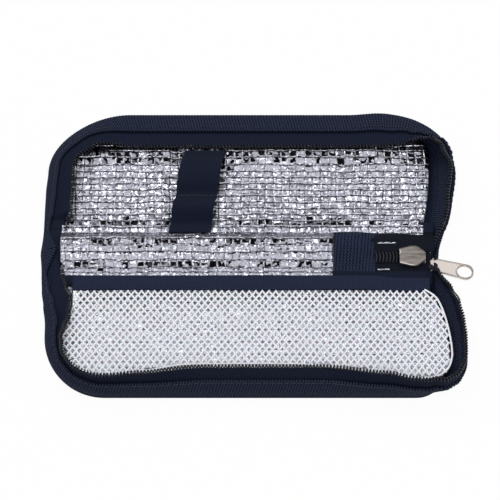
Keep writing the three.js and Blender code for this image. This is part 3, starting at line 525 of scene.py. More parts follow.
def tube(line, radius, sides, flat=1.0, closed=False):
    """Tube along a line, with two end caps or closed to a ring. Flat squeezes it across Z."""
    line = np.asarray(line, float)
    step = np.roll(line, -1, 0) - np.roll(line, 1, 0) if closed else np.gradient(line, axis=0)
    heading = unit(step)
    upright = np.abs(heading[:, 2:]) > 0.9
    side = unit(np.cross(heading, np.where(upright, [[0.0, 1, 0]], [[0.0, 0, 1]])))
    up = np.cross(side, heading)
    angles = np.arange(sides) / sides * 2 * math.pi
    ring = side[:, None] * np.cos(angles)[:, None] + up[:, None] * (np.sin(angles) * flat)[:, None]
    points = (line[:, None] + radius * ring).reshape(-1, 3)
    count = len(line)
    faces = []
    for row in range(count if closed else count - 1):
        here, there = row * sides, (row + 1) % count * sides
        for at in range(sides):
            beside = (at + 1) % sides
            faces.append([here + at, here + beside, there + beside, there + at])
    if not closed:
        faces += [list(range(sides)), list(range(len(points) - sides, len(points)))]
    return points, faces


def joined(parts):
    """Several point and face lists as one."""
    points, faces, start = [], [], 0
    for some_points, some_faces in parts:
        points.append(np.asarray(some_points, float))
        faces += [[at + start for at in face] for face in some_faces]
        start += len(some_points)
    return np.concatenate(points), faces


# Rows and nets, by trees of nodes
def started_tree(name, inputs):
    """Node group with named inputs and one geometry output. Returns it and its inputs' sockets."""
    tree = bpy.data.node_groups.new(name, "GeometryNodeTree")
    for label, kind in inputs.items():
        tree.interface.new_socket(label, in_out="INPUT", socket_type=f"NodeSocket{kind}")
    tree.interface.new_socket("Result", in_out="OUTPUT", socket_type="NodeSocketGeometry")
    return tree, node(tree, "NodeGroupInput").outputs


def ended_tree(tree, copies, finish):
    """Makes the copies real, in one finish."""
    real = node(tree, "GeometryNodeRealizeInstances", (copies,))
    done = node(tree, "GeometryNodeSetMaterial", {"Geometry": real, "Material": finish})
    node(tree, "NodeGroupOutput", (done,))
    return tree


def row_tree():
    """Sets copies of a template along a path, turned to its tangent and to the path's own facing."""
    tree, given = started_tree("row_along_path", {
        "Path": "Geometry", "Spacing": "Float", "Template": "Object", "Finish": "Material"})
    curve = node(tree, "GeometryNodeMeshToCurve", (given["Path"],))
    spaced = node(tree, "GeometryNodeResampleCurve", {"Curve": curve, "Length": given["Spacing"]},
                  mode="LENGTH")
    facing = node(tree, "GeometryNodeInputNamedAttribute", {"Name": "facing"}, data_type="FLOAT_VECTOR")
    tangent = node(tree, "GeometryNodeInputTangent")
    turned = node(tree, "FunctionNodeAxesToRotation", (tangent, facing),
                  primary_axis="X", secondary_axis="Z")
    template = node(tree, "GeometryNodeObjectInfo", {"Object": given["Template"]})
    copies = node(tree, "GeometryNodeInstanceOnPoints", {
        "Points": spaced, "Instance": template.outputs["Geometry"], "Rotation": turned})
    return ended_tree(tree, copies, given["Finish"])


def net_tree():
    """Turns the edges of a net into yarn, with a knot at each crossing."""
    tree, given = started_tree("yarn_along_edges", {
        "Net": "Geometry", "Yarn radius": "Float", "Knot radius": "Float", "Finish": "Material"})
    curve = node(tree, "GeometryNodeMeshToCurve", (given["Net"],))
    ring = node(tree, "GeometryNodeCurvePrimitiveCircle", {"Resolution": 5, "Radius": given["Yarn radius"]})
    yarn = node(tree, "GeometryNodeCurveToMesh", {
        "Curve": curve, "Profile Curve": ring, "Fill Caps": True})
    knot = node(tree, "GeometryNodeMeshIcoSphere", {"Radius": given["Knot radius"], "Subdivisions": 1})
    crossing = node(tree, "GeometryNodeInputNamedAttribute", {"Name": "crossing"}, data_type="BOOLEAN")
    knots = node(tree, "GeometryNodeInstanceOnPoints", {
        "Points": given["Net"], "Selection": crossing, "Instance": knot})
    both = node(tree, "GeometryNodeJoinGeometry", (yarn,))
    tree.links.new(knots.outputs[0], both.inputs[0])
    return ended_tree(tree, both, given["Finish"])


def plain_mesh_of(made_object, name):
    """The evaluated object as a plain mesh object under that name."""
    graph = bpy.context.evaluated_depsgraph_get()
    mesh = bpy.data.meshes.new_from_object(made_object.evaluated_get(graph))
    bpy.data.objects.remove(made_object)
    mesh.name = name
    return added(name, mesh)


def grown_piece(name, points, edges, marks, tree, values):
    """Edges turned into one plain mesh by a tree. Marks are an attribute's name, kind and values."""
    mesh = mesh_of("edges", points, edges, [])
    label, kind, key, numbers = marks
    mesh.attributes.new(label, kind, "POINT").data.foreach_set(key, numbers)
    made = added("edges", mesh)
    modifier = made.modifiers.new("grown", "NODES")
    modifier.node_group = tree
    for item in tree.interface.items_tree:
        if item.in_out == "INPUT" and item.name in values:
            modifier[item.identifier] = values[item.name]
    made.update_tag()
    result = plain_mesh_of(made, name)
    smooth(result.data)
    return result


row_nodes = row_tree()


def row_piece(name, line, facing, spacing, template, finish):
    """Row of copies of a template along a line, as one plain mesh."""
    facing = np.broadcast_to(facing, line.shape).astype(np.float32).ravel()
    edges = [(at, at + 1) for at in range(len(line) - 1)]
    return grown_piece(name, line, edges, ("facing", "FLOAT_VECTOR", "vector", facing), row_nodes, {
        "Spacing": spacing * MM, "Template": template, "Finish": finish})


templates = []


def template_of(name, points, faces, finish):
    made = piece_of(name, points, faces, finish)
    templates.append(made)
    return made


FILAMENT = 0.32
COIL_TURN_POINTS = 11
STITCH_PITCH = 3.0
THREAD = 0.19
turn = np.linspace(0, 2 * math.pi, COIL_TURN_POINTS)
coil_line = np.stack([TOOTH_PITCH * (turn / (2 * math.pi) - 0.5),
                      (COIL_WIDTH / 2 - FILAMENT) * np.cos(turn),
                      (COIL_THICKNESS / 2 - FILAMENT) * np.sin(turn)], -1)
coil_turn = template_of("coil_turn", *tube(coil_line, FILAMENT, 5), coil_finish)
stitch_line = [(-1.05, 0, -0.25), (-0.8, 0, 0.05), (0, 0, 0.14), (0.8, 0, 0.05), (1.05, 0, -0.25)]
stitch = template_of("stitch", *tube(stitch_line, THREAD, 5), thread_finish)


# Walls round each half
EDGE_PITCH = 0.36
END_INSET = 0.3
LINE_STEPS = 16
CREASE_SOFTNESS = 4
SQUARE_ENDS = 5
SEAM_ALLOWANCE = 1.6
SEAM_DEPTH = -0.12
WALL_FLOOR = 1.02


def half_edge(half, inset, hinge_inset, pitch):
    """Edge of a half as X and reach, from the left end of its fold round to the right end, and its
    length."""
    (left_x, left_y), (right_x, right_y) = [np.subtract(half[side], inset) for side in ("left", "right")]
    end, free = PANEL_LENGTH / 2 - inset, PANEL_WIDTH - inset
    turn = np.linspace(0, math.pi / 2, 120)
    side = np.linspace(0, 1, 80)
    left_reach = hinge_inset + (free - left_y - hinge_inset) * side[:-1]
    right_reach = free - right_y + (hinge_inset - free + right_y) * side[1:]
    pinch = PINCH_DEPTH * np.clip(1 - right_reach / PINCH_LENGTH, 0, None) ** 2
    line = np.concatenate([
        np.stack([np.full_like(left_reach, -end), left_reach], -1),
        np.stack([-end + left_x - left_x * np.cos(turn), free - left_y + left_y * np.sin(turn)], -1),
        np.stack([end - right_x + right_x * np.sin(turn), free - right_y + right_y * np.cos(turn)], -1),
        np.stack([end - pinch, right_reach], -1),
    ])
    length = length_along(line)[-1]
    return evenly(line, int(length / pitch) + 1), length


def on_half(half, x, reach, height):
    """Points of a half, from their reach away from its fold."""
    return grid_of(x, half["fold"] + half["way"] * reach, height)


def wall_stances(table, shares):
    """Leans and stretches at some shares of the way round."""
    keys = np.array([entry[0] for entry in table])
    after = np.clip(np.searchsorted(keys, shares), 1, len(keys) - 1)
    mix = ramp((shares - keys[after - 1]) / (keys[after] - keys[after - 1]), 0, 1)[:, None]
    values = [np.array([entry[at] for entry in table], float) for at in (1, 2)]
    return [value[after - 1] * (1 - mix) + value[after] * mix for value in values]


def wall_lines(corners):
    """Soft lines up a wall, through its five corners."""
    shares = np.linspace(0, RIM, RIM * LINE_STEPS + 1)
    low = np.minimum(shares.astype(int), RIM - 1)
    part = (shares - low)[:, None]
    straight = corners[..., low, :] + (corners[..., low + 1, :] - corners[..., low, :]) * part
    return softened(straight, CREASE_SOFTNESS)


def wall_frame(half, table):
    """Stations round a half: place, inward heading, and the smooth line up the wall at each."""
    edge, length = half_edge(half, 0, END_INSET, EDGE_PITCH)
    stations = np.linspace(0, length, len(edge))
    heading = unit(np.gradient(edge, axis=0))
    inward = np.stack([heading[:, 1], -heading[:, 0]], -1)
    for to_end, way in ((stations, 1), (length - stations, -1)):
        square = ramp(to_end, SQUARE_ENDS, 0)[:, None]
        inward = unit(inward * (1 - square) + np.array([[way, 0]]) * square)
    lean, stretch = wall_stances(table, stations / length)
    lean = np.radians(lean)
    steps = np.stack([np.sin(lean), np.cos(lean)], -1) * (np.array(WALL_LENGTHS) * stretch)[..., None]
    corners = np.concatenate([np.zeros((len(edge), 1, 2)), np.cumsum(steps, 1)], 1)
    corners[..., 1] += FOAM_BOTTOM
    return {"half": half, "edge": edge, "inward": inward, "line": wall_lines(corners)}


def in_space(wall, line):
    """Lines up a wall, as points in space."""
    plan = wall["edge"][:, None] + wall["inward"][:, None] * line[..., :1]
    return on_half(wall["half"], plan[..., 0], plan[..., 1], line[..., 1])


def between(lines, start, end, steps):
    """Points on lines up a wall, between two of its places."""
    places = np.linspace(start, end, steps) * LINE_STEPS
    low = np.minimum(places.astype(int), lines.shape[1] - 2)
    part = (places - low)[None, :, None]
    return lines[:, low] * (1 - part) + lines[:, low + 1] * part


def wall_grid(wall, start, end, depth, steps):
    """Surface between two places up the wall, moved sideways by a depth towards the inside."""
    tangent = unit(np.gradient(wall["line"], axis=1))
    aside = np.stack([tangent[..., 1], -tangent[..., 0]], -1)
    return in_space(wall, between(wall["line"] + aside * depth, start, end, steps))


def corded(u, v):
    """Relief of the webbing: rows of cords that cross over and under."""
    along = np.sin(2 * math.pi * (u + CORD_SKEW * v) / CORD_PITCH)
    return CORD_HEIGHT * along * np.sin(2 * math.pi * v / CORD_CROSSING)


def footed(webbing, inward):
    """The webbing with a narrow strip turned in under its foot, lying on the panel."""
    share = np.linspace(1, 0.15, 5)[None, :, None]
    flange = webbing[:, :1] + share * SEAM_ALLOWANCE * np.pad(inward, ((0, 0), (0, 1)))[:, None]
    flange[..., 2] = PANEL_THICKNESS + WEBBING_THICKNESS * 0.35
    return np.concatenate([flange, webbing], 1)


def wall_layers(name, endings, surface, inward=None):
    """Webbing, tape and coil of a wall, each paired with a slot name. Surface gives a grid between two
    places up the wall, at a depth."""
    webbing = surface(FOOT, WEBBING_EDGE, WEBBING_THICKNESS / 2, 34)
    if inward is not None:
        webbing = footed(webbing, inward)
    tape = surface(WEBBING_EDGE - TAPE_TUCK, TAPE_EDGE + 0.35, TAPE_MIDDLE, 18)
    rim = surface(TAPE_EDGE + 0.1, RIM, TAPE_MIDDLE, 3)
    names = [f"{name}_{ending}" for ending in endings]
    return (
        (sheet_piece(names[0], webbing, WEBBING_THICKNESS, webbing_finish, corded, WALL_FLOOR),
         "ribbed_webbing"),
        (sheet_piece(names[1], tape, TAPE_THICKNESS, tape_finish), "woven_tape"),
        (row_piece(names[2], rim[:, 1], normals_of(rim)[:, 1], TOOTH_PITCH, coil_turn, coil_finish),
         "coil_nylon"),
    )


def ride_as(piece, body, slot, *nodes):
    """The piece moves with that body and stands for those solids."""
    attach(piece, body)
    if nodes:
        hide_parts(*nodes)


def bend_as(piece):
    """Bakes the piece's place into its mesh, and leaves it on no body."""
    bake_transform(piece)


walls = {"tray": wall_frame(TRAY, TRAY_WALL), "lid": wall_frame(LID, LID_WALL)}
for body, wall in walls.items():
    layers = wall_layers(body, ("ribbed_wall", "tape_band", "coil_teeth"),
                         lambda *places: wall_grid(wall, *places),
                         wall["inward"] * (1, wall["half"]["way"]))
    for (piece, slot), solid in zip(layers, ("wall_webbing", "zip_tape", "zip_coil")):
        ride_as(piece, body, slot, f"{body}_{solid}")
    seam = wall_grid(wall, WEBBING_EDGE - 0.22, WEBBING_EDGE - 0.18, SEAM_DEPTH, 3)
    outside = wall_grid(wall, WEBBING_EDGE - 0.4, WEBBING_EDGE, SEAM_DEPTH, 3)
    stitches = row_piece(f"{body}_wall_stitches", seam[:, 1], -normals_of(outside)[:, 1], STITCH_PITCH,
                         stitch, thread_finish)
    ride_as(stitches, body, "woven_tape")


# Foil linings
LINING_PITCH = 0.42
FOAM_PITCH = 1.5
FOAM_THICKNESS = 2.6
FOIL_TOP = FOIL_BOTTOM + FOIL_THICKNESS
EDGE_FADE = 1.6
# Middle of the pen loops, where the lining is pressed flat
STRAP_MIDDLE_X = -21.1
# Ridge that the folded wall pushes up in the lid's lining, as reaches from the fold
RIDGE_HEIGHT = 1.5
RIDGE_START, RIDGE_TOP, RIDGE_FALL, RIDGE_END = 34, 43.5, 44.5, 47.5


def foil_relief(x, y, seed):
    """Height of the crinkled film: each scrim square puffs up and tips its own way between threads."""
    x = x + 0.5 * cloud(x, y, 22, seed + 1)
    y = y + 0.5 * cloud(x, y, 17, seed + 2)
    column, row = x / SCRIM_PITCH, y / SCRIM_PITCH
    i, j = np.floor(column).astype(int) % 128, np.floor(row).astype(int) % 128
    a, b = column - np.floor(column), row - np.floor(row)
    own = np.random.default_rng(seed).uniform(-1, 1, (4, 128, 128))
    window = (16 * a * (1 - a) * b * (1 - b)) ** 0.55
    puff = window * (0.2 + 0.12 * own[0][i, j])
    tip = window * ((a - 0.5) * own[1][i, j] + (b - 0.5) * own[2][i, j]) * 0.5
    crease = np.abs(cloud(x, y, 1.7, seed + 3))
    return puff + tip - 0.12 * crease * (0.4 + 0.6 * window)


def lining_reach(half, x):
    """How far the lining runs from the fold at a place along X."""
    end, free = PANEL_LENGTH / 2 - LINING_INSET, PANEL_WIDTH - LINING_INSET
    reach = np.full(np.shape(x), free, float)
    for side, way in (("left", -1), ("right", 1)):
        length, width = np.subtract(half[side], LINING_INSET)
        past = np.clip((way * x - end + length) / length, 0, 1)
        reach -= width * (1 - np.sqrt(1 - past ** 2))
    return reach


def lining_surface(half, pitch):
    """Grid over a half's lining: columns along X, rows from the fold to the free edge."""
    end = PANEL_LENGTH / 2 - LINING_INSET
    x = np.linspace(-end, end, int(2 * end / pitch))
    reach = lining_reach(half, x)
    share = np.linspace(0, 1, int((PANEL_WIDTH - LINING_INSET) / pitch))
    away = HINGE_INSET + (reach[:, None] - HINGE_INSET) * share[None, :]
    pinch = PINCH_DEPTH * np.clip(1 - away / PINCH_LENGTH, 0, None) ** 2
    across = x[:, None] - pinch * ramp(x[:, None], end - 30, end)
    return across, half["fold"] + half["way"] * away, away


def topped_slab(name, x, y, top, bottom, finish):
    """Closed body with a shaped top over a flat bottom."""
    rows, columns = x.shape
    points = np.stack([x, y, top], -1).reshape(-1, 3)
    border = border_of(rows, columns)
    under = points[border].copy()
    under[:, 2] = bottom
    count, length = len(points), len(border)
    ring = np.arange(length)
    after = (ring + 1) % length
    rim = np.stack([border, border[after], count + after, count + ring], -1).tolist()
    faces = grid_faces(rows, columns).tolist() + rim + [(count + ring).tolist()]
    return piece_of(name, np.concatenate([points, under]), faces, finish,
                    np.concatenate([points[:, :2], under[:, :2]]))


def edge_fade(x, away, half, width):
    """0 at the lining's own edge, 1 further in than a width."""
    end = PANEL_LENGTH / 2 - LINING_INSET
    to_edge = np.minimum(lining_reach(half, x) - away, away)
    return np.minimum(ramp(to_edge, 0, width), ramp(end - np.abs(x), 0, width))


def paint_dark_squares_on(piece, share):
    """Marks where the film's squares get painted dark reflection, as if they tipped away, with a share from
    0 to 1 at each point.
    """
    places = np.zeros(len(piece.data.vertices) * 3)
    piece.data.vertices.foreach_get("co", places)
    x, y, _ = places.reshape(-1, 3).T / MM
    marks = piece.data.attributes.new("painted_dark_odds", "FLOAT", "POINT")
    marks.data.foreach_set("value", np.asarray(share(x, y), np.float32))


for body, half in HALVES.items():
    seed = {"tray": 11, "lid": 23}[body]
    x, y, away = lining_surface(half, LINING_PITCH)
    swell = 0.25 * cloud(x, y, 16, seed + 7)
    under_strap = 0
    if body == "lid":
        swell += RIDGE_HEIGHT * ramp(away, RIDGE_START, RIDGE_TOP) * ramp(away, RIDGE_END, RIDGE_FALL)
        swell += 0.5 * ramp(away, 9, 3)
        under_strap = ramp(np.abs(x - STRAP_MIDDLE_X), 15, 10)
    shape = foil_relief(x, y, seed) * (1 - 0.75 * under_strap) + swell * (1 - under_strap)
    top = FOIL_TOP - 0.15 + (shape + 0.1) * edge_fade(x, away, half, EDGE_FADE)
    finish = pocket_foil_finish if body == "tray" else foil_finish
    foil = topped_slab(f"{body}_crinkled_foil", x, y, top, FOIL_BOTTOM, finish)
    if body == "lid":
        # Painted shade and dark reflection: squares painted dark near the far wall and near the fold
        paint_dark_squares_on(foil, lambda x, y: np.maximum(ramp(y, 90, 100), 0.75 * ramp(y, 66, 60)))
    ride_as(foil, body, "foil", f"{body}_foil_lining")
    x, y, away = lining_surface(half, FOAM_PITCH)
    top = FOAM_BOTTOM + FOAM_THICKNESS - 0.25 * (1 - edge_fade(x, away, half, 2.5))
    foam = topped_slab(f"{body}_foam_layer", x, y, top, FOAM_BOTTOM, foam_finish)
    ride_as(foam, body, "foam", f"{body}_foam_board")


# Outer panels: cloth over the board, turned round its edge. Each ring is an inset and a height.
PANEL_RINGS = ((2.2, 1.0), (0.5, 1.0), (0.12, 0.85), (0, 0.5), (0.12, 0.15), (0.5, 0), (2.2, 0))
PANEL_PITCH = 1.2
for body, half in HALVES.items():
    edge, length = half_edge(half, 0, END_INSET, PANEL_PITCH)
    count = len(edge)
    rings = []
    for inset, height in PANEL_RINGS:
        line, _ = half_edge(half, inset, END_INSET + inset, length / (count - 1))
        line = picked(line, np.linspace(0, 1, count), np.linspace(0, 1, len(line)))
        rings.append(on_half(half, line[:, 0], line[:, 1], height))
    points = np.concatenate(rings)
    ring = np.arange(count)
    after = (ring + 1) % count
    faces = [ring.tolist()]
    for start in range(0, len(points) - count, count):
        faces += (np.stack([ring, after, after + count, ring + count], -1) + start).tolist()
    faces.append((ring + len(points) - count).tolist())
    panel = piece_of(f"{body}_cloth_panel", points, faces, cloth_finish, points[:, :2])
    ride_as(panel, body, "outer_cloth", f"{body}_outer_panel")
    seam, _ = half_edge(half, 2.4, 3, PANEL_PITCH)
    stitches = row_piece(f"{body}_panel_stitches", on_half(half, seam[:, 0], seam[:, 1], 0.2), (0, 0, -1),
                         STITCH_PITCH, stitch, thread_finish)
    ride_as(stitches, body, "woven_tape")


# Spine: its arch as shares across it and up it
ARCH_SHARES = ((0.03, 0), (0.16, 0.2), (0.32, 0.52), (0.46, 0.88), (0.56, 1), (0.68, 0.92), (0.82, 0.5),
               (0.95, 0))
ARCH_FOOT = FOLD_HEIGHT + FOIL_THICKNESS
ARCH_HEIGHT = 6.2


def arch_line(steps, start=0.0, end=1.0):
    """Smooth line over the arch as (Y, Z), from the tray's side to the lid's."""
    corners = np.array(ARCH_SHARES) * (SPINE_WIDTH, ARCH_HEIGHT) + (FOLD_ONE_Y, ARCH_FOOT)
    return soft_line(corners, steps, 5, start, end)


def arch_grid(left, right, columns, steps, start=0.0, end=1.0):
    line = arch_line(steps, start, end)
    return grid_of(np.linspace(left, right, columns)[:, None], line[:, 0], line[:, 1])


# Rows of squares painted dark on the spine, a painted dark reflection, as (Y, strength)
SPINE_DARK_ROW_WIDTH = 1.7
SPINE_DARK_ROWS = ((52.6, 1.3), (46.2, 0.9), (36.8, 1.1))


def spine_painted_dark_rows(x, y):
    # Painted dark reflection, stronger towards the left end
    rows = sum(strength * np.exp(-((y - place) / SPINE_DARK_ROW_WIDTH) ** 2)
               for place, strength in SPINE_DARK_ROWS)
    return rows * (0.45 + 0.55 * ramp(x, 10, -50))


strip = arch_grid(FOIL_STRIP_LEFT, FOIL_STRIP_RIGHT, 300, 72)
normals = upward(strip)
strip -= normals * FOIL_THICKNESS / 2
u, v = run_of(strip)
x = strip[..., 0]
lift = foil_relief(x, v, 37) * ramp(to_border(u, v), 0, 1.5) + 0.3 * cloud(x, v, 12, 40)
strip += normals * lift[..., None]
spine_film = sheet_piece("spine_crinkled_foil", strip, FOIL_THICKNESS, foil_finish)
paint_dark_squares_on(spine_film, spine_painted_dark_rows)
ride_as(spine_film, "spine", "foil", "spine_foil_lining")

core = arch_grid(FOIL_STRIP_LEFT + 0.5, TAB_RIGHT - 3, 60, 30, 0.03, 0.97)
core[..., 2] -= 1.6 * ramp(core[..., 0], TAB_LEFT - 1, TAB_LEFT + 1)
core -= upward(core) * (FOIL_THICKNESS + 0.5)
foam = topped_slab("spine_foam_strip", core[..., 0], core[..., 1], np.maximum(core[..., 2], 1.8), 1.5,
                   foam_finish)
ride_as(foam, "spine", "foam", "spine_foam_core")

BACK_THICKNESS = 1.0
back = flat_grid(SPINE_LEFT + 1.6, TAB_RIGHT, FOLD_ONE_Y + 0.35, FOLD_TWO_Y - 0.35, 0.62, 0.37)
ride_as(sheet_piece("spine_ribbed_back", back, BACK_THICKNESS, webbing_finish, corded, 0), "spine",
        "ribbed_webbing", "spine_outer_webbing")

# Strips that cover the two folds: left, right, how far they start and end from the fold along Y, height,
# thickness
STRIP_PITCH = 0.4
STRIP_RIGHT = 83.5
FOLD_STRIPS = (
    ("lid_fold_film", (FOIL_STRIP_LEFT, 80, -4.4, 2.2, 5.5, 0.5), foil_finish, "foil"),
    ("lid_fold_cloth", (SPINE_LEFT + 2.4, STRIP_RIGHT, -1.7, 1.7, 0.75, 0.6), webbing_finish,
     "ribbed_webbing"),
    ("tray_fold_cloth", (SPINE_LEFT + 2.4, STRIP_RIGHT, -1.7, 1.7, 0.75, 0.6), webbing_finish,
     "ribbed_webbing"),
    ("lid_fold_selvedge", (78.6, 84.6, -1.9, 4.2, 5.35, 0.6), tape_finish, "woven_tape"),
    ("tray_fold_film", (FOIL_STRIP_LEFT - 0.6, FOIL_STRIP_RIGHT, -1.9, 1.6, 5.5, 0.5), foil_finish, "foil"),
    ("tray_fold_selvedge", (FOIL_STRIP_RIGHT - 1.2, STRIP_RIGHT, -1.9, 1.6, 5.4, 0.5), tape_finish,
     "woven_tape"),
    ("tray_fold_tape", (-85.5, STRIP_RIGHT, -6.6, -0.9, 5.7, 0.7), tape_finish, "woven_tape"),
)
STRIP_RELIEFS = {
    "lid_fold_film": lambda u, v: foil_relief(u, v + 1.6, 57),
    "tray_fold_film": lambda u, v: 0.12 * cloud(u, v, 0.8, 59),
}
for name, (left, right, near, far, height, thickness), finish, slot in FOLD_STRIPS:
    body = name.split("_")[0]
    fold = HALVES[body]["fold"]
    strip = flat_grid(left, right, fold + near, fold + far, height, STRIP_PITCH)
    strip[..., 2] += 0.15 * cloud(*run_of(strip), 9, 45)
    bend_as(sheet_piece(name, strip, thickness, finish, STRIP_RELIEFS.get(name)))


# Corded tab over the closed end of the zip, sinking to the chain at its right end
TAB_THICKNESS = 1.0
TAB_GROOVE = 0.7
TAB_GROOVE_Y = FOLD_ONE_Y + 16.5
TAB_GROOVE_WIDTH = 0.8
tab = arch_grid(TAB_LEFT, TAB_RIGHT + 0.4, 91, 60, 0.0, 0.98)
sink = 0.42 * ramp(tab[..., 0], TAB_RIGHT - 7, TAB_RIGHT + 0.4)
tab[..., 2] -= 0.3 + (tab[..., 2] - ARCH_FOOT) * sink
tab[..., 2] += 0.35 * cloud(tab[..., 0], tab[..., 1], 7, 51)
tab[..., 2] -= TAB_GROOVE * np.exp(-((tab[..., 1] - TAB_GROOVE_Y) / TAB_GROOVE_WIDTH) ** 2)
ride_as(sheet_piece("corded_end_tab", tab, TAB_THICKNESS, tab_finish, corded), "spine", "ribbed_webbing",
        "zip_end_tab")


# Mesh pocket
NET_PITCH = (2.96, 4.4)
NET_DRIFT = 0.25
NET_HEIGHT = 9.8
STRAND = 0.5
HEM_PITCH = 1.2
POCKET_LEFT, POCKET_RIGHT, POCKET_NEAR, POCKET_TOP = -81, 91, -29.4, 20.5


def pocket_height(x, y):
    to_edge = np.minimum(np.minimum(x - POCKET_LEFT, POCKET_RIGHT - x),
                         np.minimum(y - POCKET_NEAR, POCKET_TOP - y))
    bulge = ramp(to_edge, 0, 16)
    return NET_HEIGHT + 0.9 * bulge + 0.35 * cloud(x, y, 20, 61) * bulge


# Outline of the net where it meets the binding, the tape and the coil
NET_OUTLINE = ((-74.2, 20.5), (-75.3, 14.6), (-77.3, 6.4), (-79.3, -1.5), (-80, -9.4), (-78.9, -16.2),
               (-76.2, -22.4), (-72, -25.8), (-67.5, -28), (-61.3, -28.6), (-55, -27.8), (-47, -25.8),
               (-28.7, -21.6), (2.4, -21), (24.7, -21.3), (44.8, -23.8), (64.8, -26.8), (74.2, -28.6),
               (81, -28.8), (87, -26.6), (90.6, -20), (90.8, -11.7), (88.8, 2.5), (85.7, 13.8), (82.6, 18.6),
               (78.1, 20.5))


def in_pocket(x, y):
    inside = np.zeros(x.shape, bool)
    for (x0, y0), (x1, y1) in zip(NET_OUTLINE, NET_OUTLINE[1:] + NET_OUTLINE[:1]):
        if y0 != y1:
            inside ^= ((y0 > y) != (y1 > y)) & (x < x0 + (x1 - x0) * (y - y0) / (y1 - y0))
    return inside


def net_piece():
    """Diamonds of yarn over the pocket, and the yarn along its hem."""
    half_x, half_y = NET_PITCH[0] / 2, NET_PITCH[1] / 2
    columns = int((POCKET_RIGHT - POCKET_LEFT) / half_x) + 1
    rows = int((POCKET_TOP - POCKET_NEAR) / half_y) + 1
    i, j = np.meshgrid(np.arange(columns), np.arange(rows), indexing="ij")
    x = POCKET_LEFT + i * half_x + NET_DRIFT * cloud(i * half_x, j * half_y, 9, 62)
    y = POCKET_NEAR + j * half_y + NET_DRIFT * cloud(i * half_x, j * half_y, 9, 63)
    kept = ((i + j) % 2 == 0) & in_pocket(x, y)
    crossings = kept.sum()
    numbers = np.full(kept.shape, -1)
    numbers[kept] = np.arange(crossings)
    points = [(a, b, pocket_height(a, b)) for a, b in zip(x[kept], y[kept])]
    edges = []
    for way in (1, -1):
        for a in range(columns - 1):
            for b in range(max(0, -way), rows - max(0, way)):
                start, end = numbers[a, b], numbers[a + 1, b + way]
                if start < 0 or end < 0:
                    continue
                middle = (np.array(points[start]) + points[end]) / 2 + (0.0, 0.0, 0.12 * way)
                edges += [(int(start), len(points)), (len(points), int(end))]
                points.append(tuple(middle))
    length = length_along(NET_OUTLINE)[-1]
    hem = evenly(NET_OUTLINE, int(length / HEM_PITCH))
    hem = np.stack([blurred(column, np.ones(9) / 9) for column in hem.T], -1)
    edges += [(len(points) + at, len(points) + at + 1) for at in range(len(hem) - 1)]
    points += [(a, b, pocket_height(a, b)) for a, b in hem]
    marks = ("crossing", "BOOLEAN", "value", np.arange(len(points)) < crossings)
    return grown_piece("knitted_pocket_mesh", points, edges, marks, net_tree(), {
        "Yarn radius": STRAND * MM, "Knot radius": 1.3 * STRAND * MM, "Finish": net_finish})


ride_as(net_piece(), "tray", "white_net", "pocket_mesh")

# The lining's right edge, turned up under the net
TURN_UP_LEFT = 79
rows = np.arange(-26, 17, 0.5)
tries = np.arange(80, 92, 0.1)
ends = np.array([tries[in_pocket(tries, np.full(tries.shape, row))].max() for row in rows]) - 0.9
share = np.linspace(0, 1, 24)[:, None]
x = TURN_UP_LEFT + (ends - TURN_UP_LEFT) * share
rise = pocket_height(x, rows) - FOIL_TOP - 2.2
turned = grid_of(x, rows, FOIL_TOP + 0.5 + rise * share ** 1.6)
ride_as(sheet_piece("tray_turned_up_foil", turned, 0.4, pocket_foil_finish,
                    lambda u, v: foil_relief(u, v, 58)), "tray", "foil")


# Binding along the pocket's mouth: a folded tape with a rounded edge
def binding_lines(u, v):
    return 0.06 * np.cos(math.pi * v)


binding = flat_grid(-76, 82, 19.65, 27.6, 9.8, 0.5)
u, v = run_of(binding)
binding[..., 2] += 0.3 * cloud(u, v, 14, 71) + 0.45 * np.sin(math.pi * v / v.max()) - 1.4 * ramp(u, 134, 142)
ride_as(sheet_piece("pocket_binding_tape", binding, 1.2, binding_finish, binding_lines), "tray",
        "woven_tape", "pocket_binding")


# Pen loops in the lid: one tape sewn down at both ends and between the loops. Shares along and up it.
STRAP_SHARES = ((0, 0), (0.122, 0), (0.17, 0.42), (0.218, 0.84), (0.265, 1), (0.32, 0.87), (0.37, 0.5),
                (0.43, 0.03), (0.485, 0.03), (0.54, 0.5), (0.618, 0.87), (0.704, 1), (0.8, 0.87),
                (0.885, 0.45), (0.952, 0.03), (1, 0))
STRAP_WIDTH = 18.6
STRAP_LENGTH = 48
STRAP_NEAR_X = -24.7
STRAP_SKEW = 6.9
STRAP_FOOT = FOLD_TWO_Y - 3
STRAP_CREST = 6.1
STRAP_SEAM = 0.457
STRAP_THICKNESS = 0.9
STRAP_GAP = 0.8
LOOP_STITCH_PITCH = 2.6


def strap_grid():
    """Middle surface of the tape, kept clear of the fold and of the spine's arch."""
    share = np.linspace(0, 1, 110)
    height = blurred(np.interp(share, *np.transpose(STRAP_SHARES)), bell(6, 2.2))
    x = np.linspace(-STRAP_WIDTH / 2, STRAP_WIDTH / 2, 40)[:, None] + STRAP_NEAR_X + STRAP_SKEW * share
    y = STRAP_FOOT + STRAP_LENGTH * share
    ruffle = 0.3 * cloud(x, np.broadcast_to(y, x.shape), 10, 81)
    z = FOIL_TOP + STRAP_GAP + (STRAP_CREST + ruffle) * height
    arch = arch_line(160)
    over_arch = np.interp(y, arch[:, 0], arch[:, 1]) + STRAP_GAP
    over_fold = np.where(y < FOLD_TWO_Y + 2, 6.3, 0)
    return grid_of(x, y, np.maximum(z, np.maximum(over_fold, over_arch)))


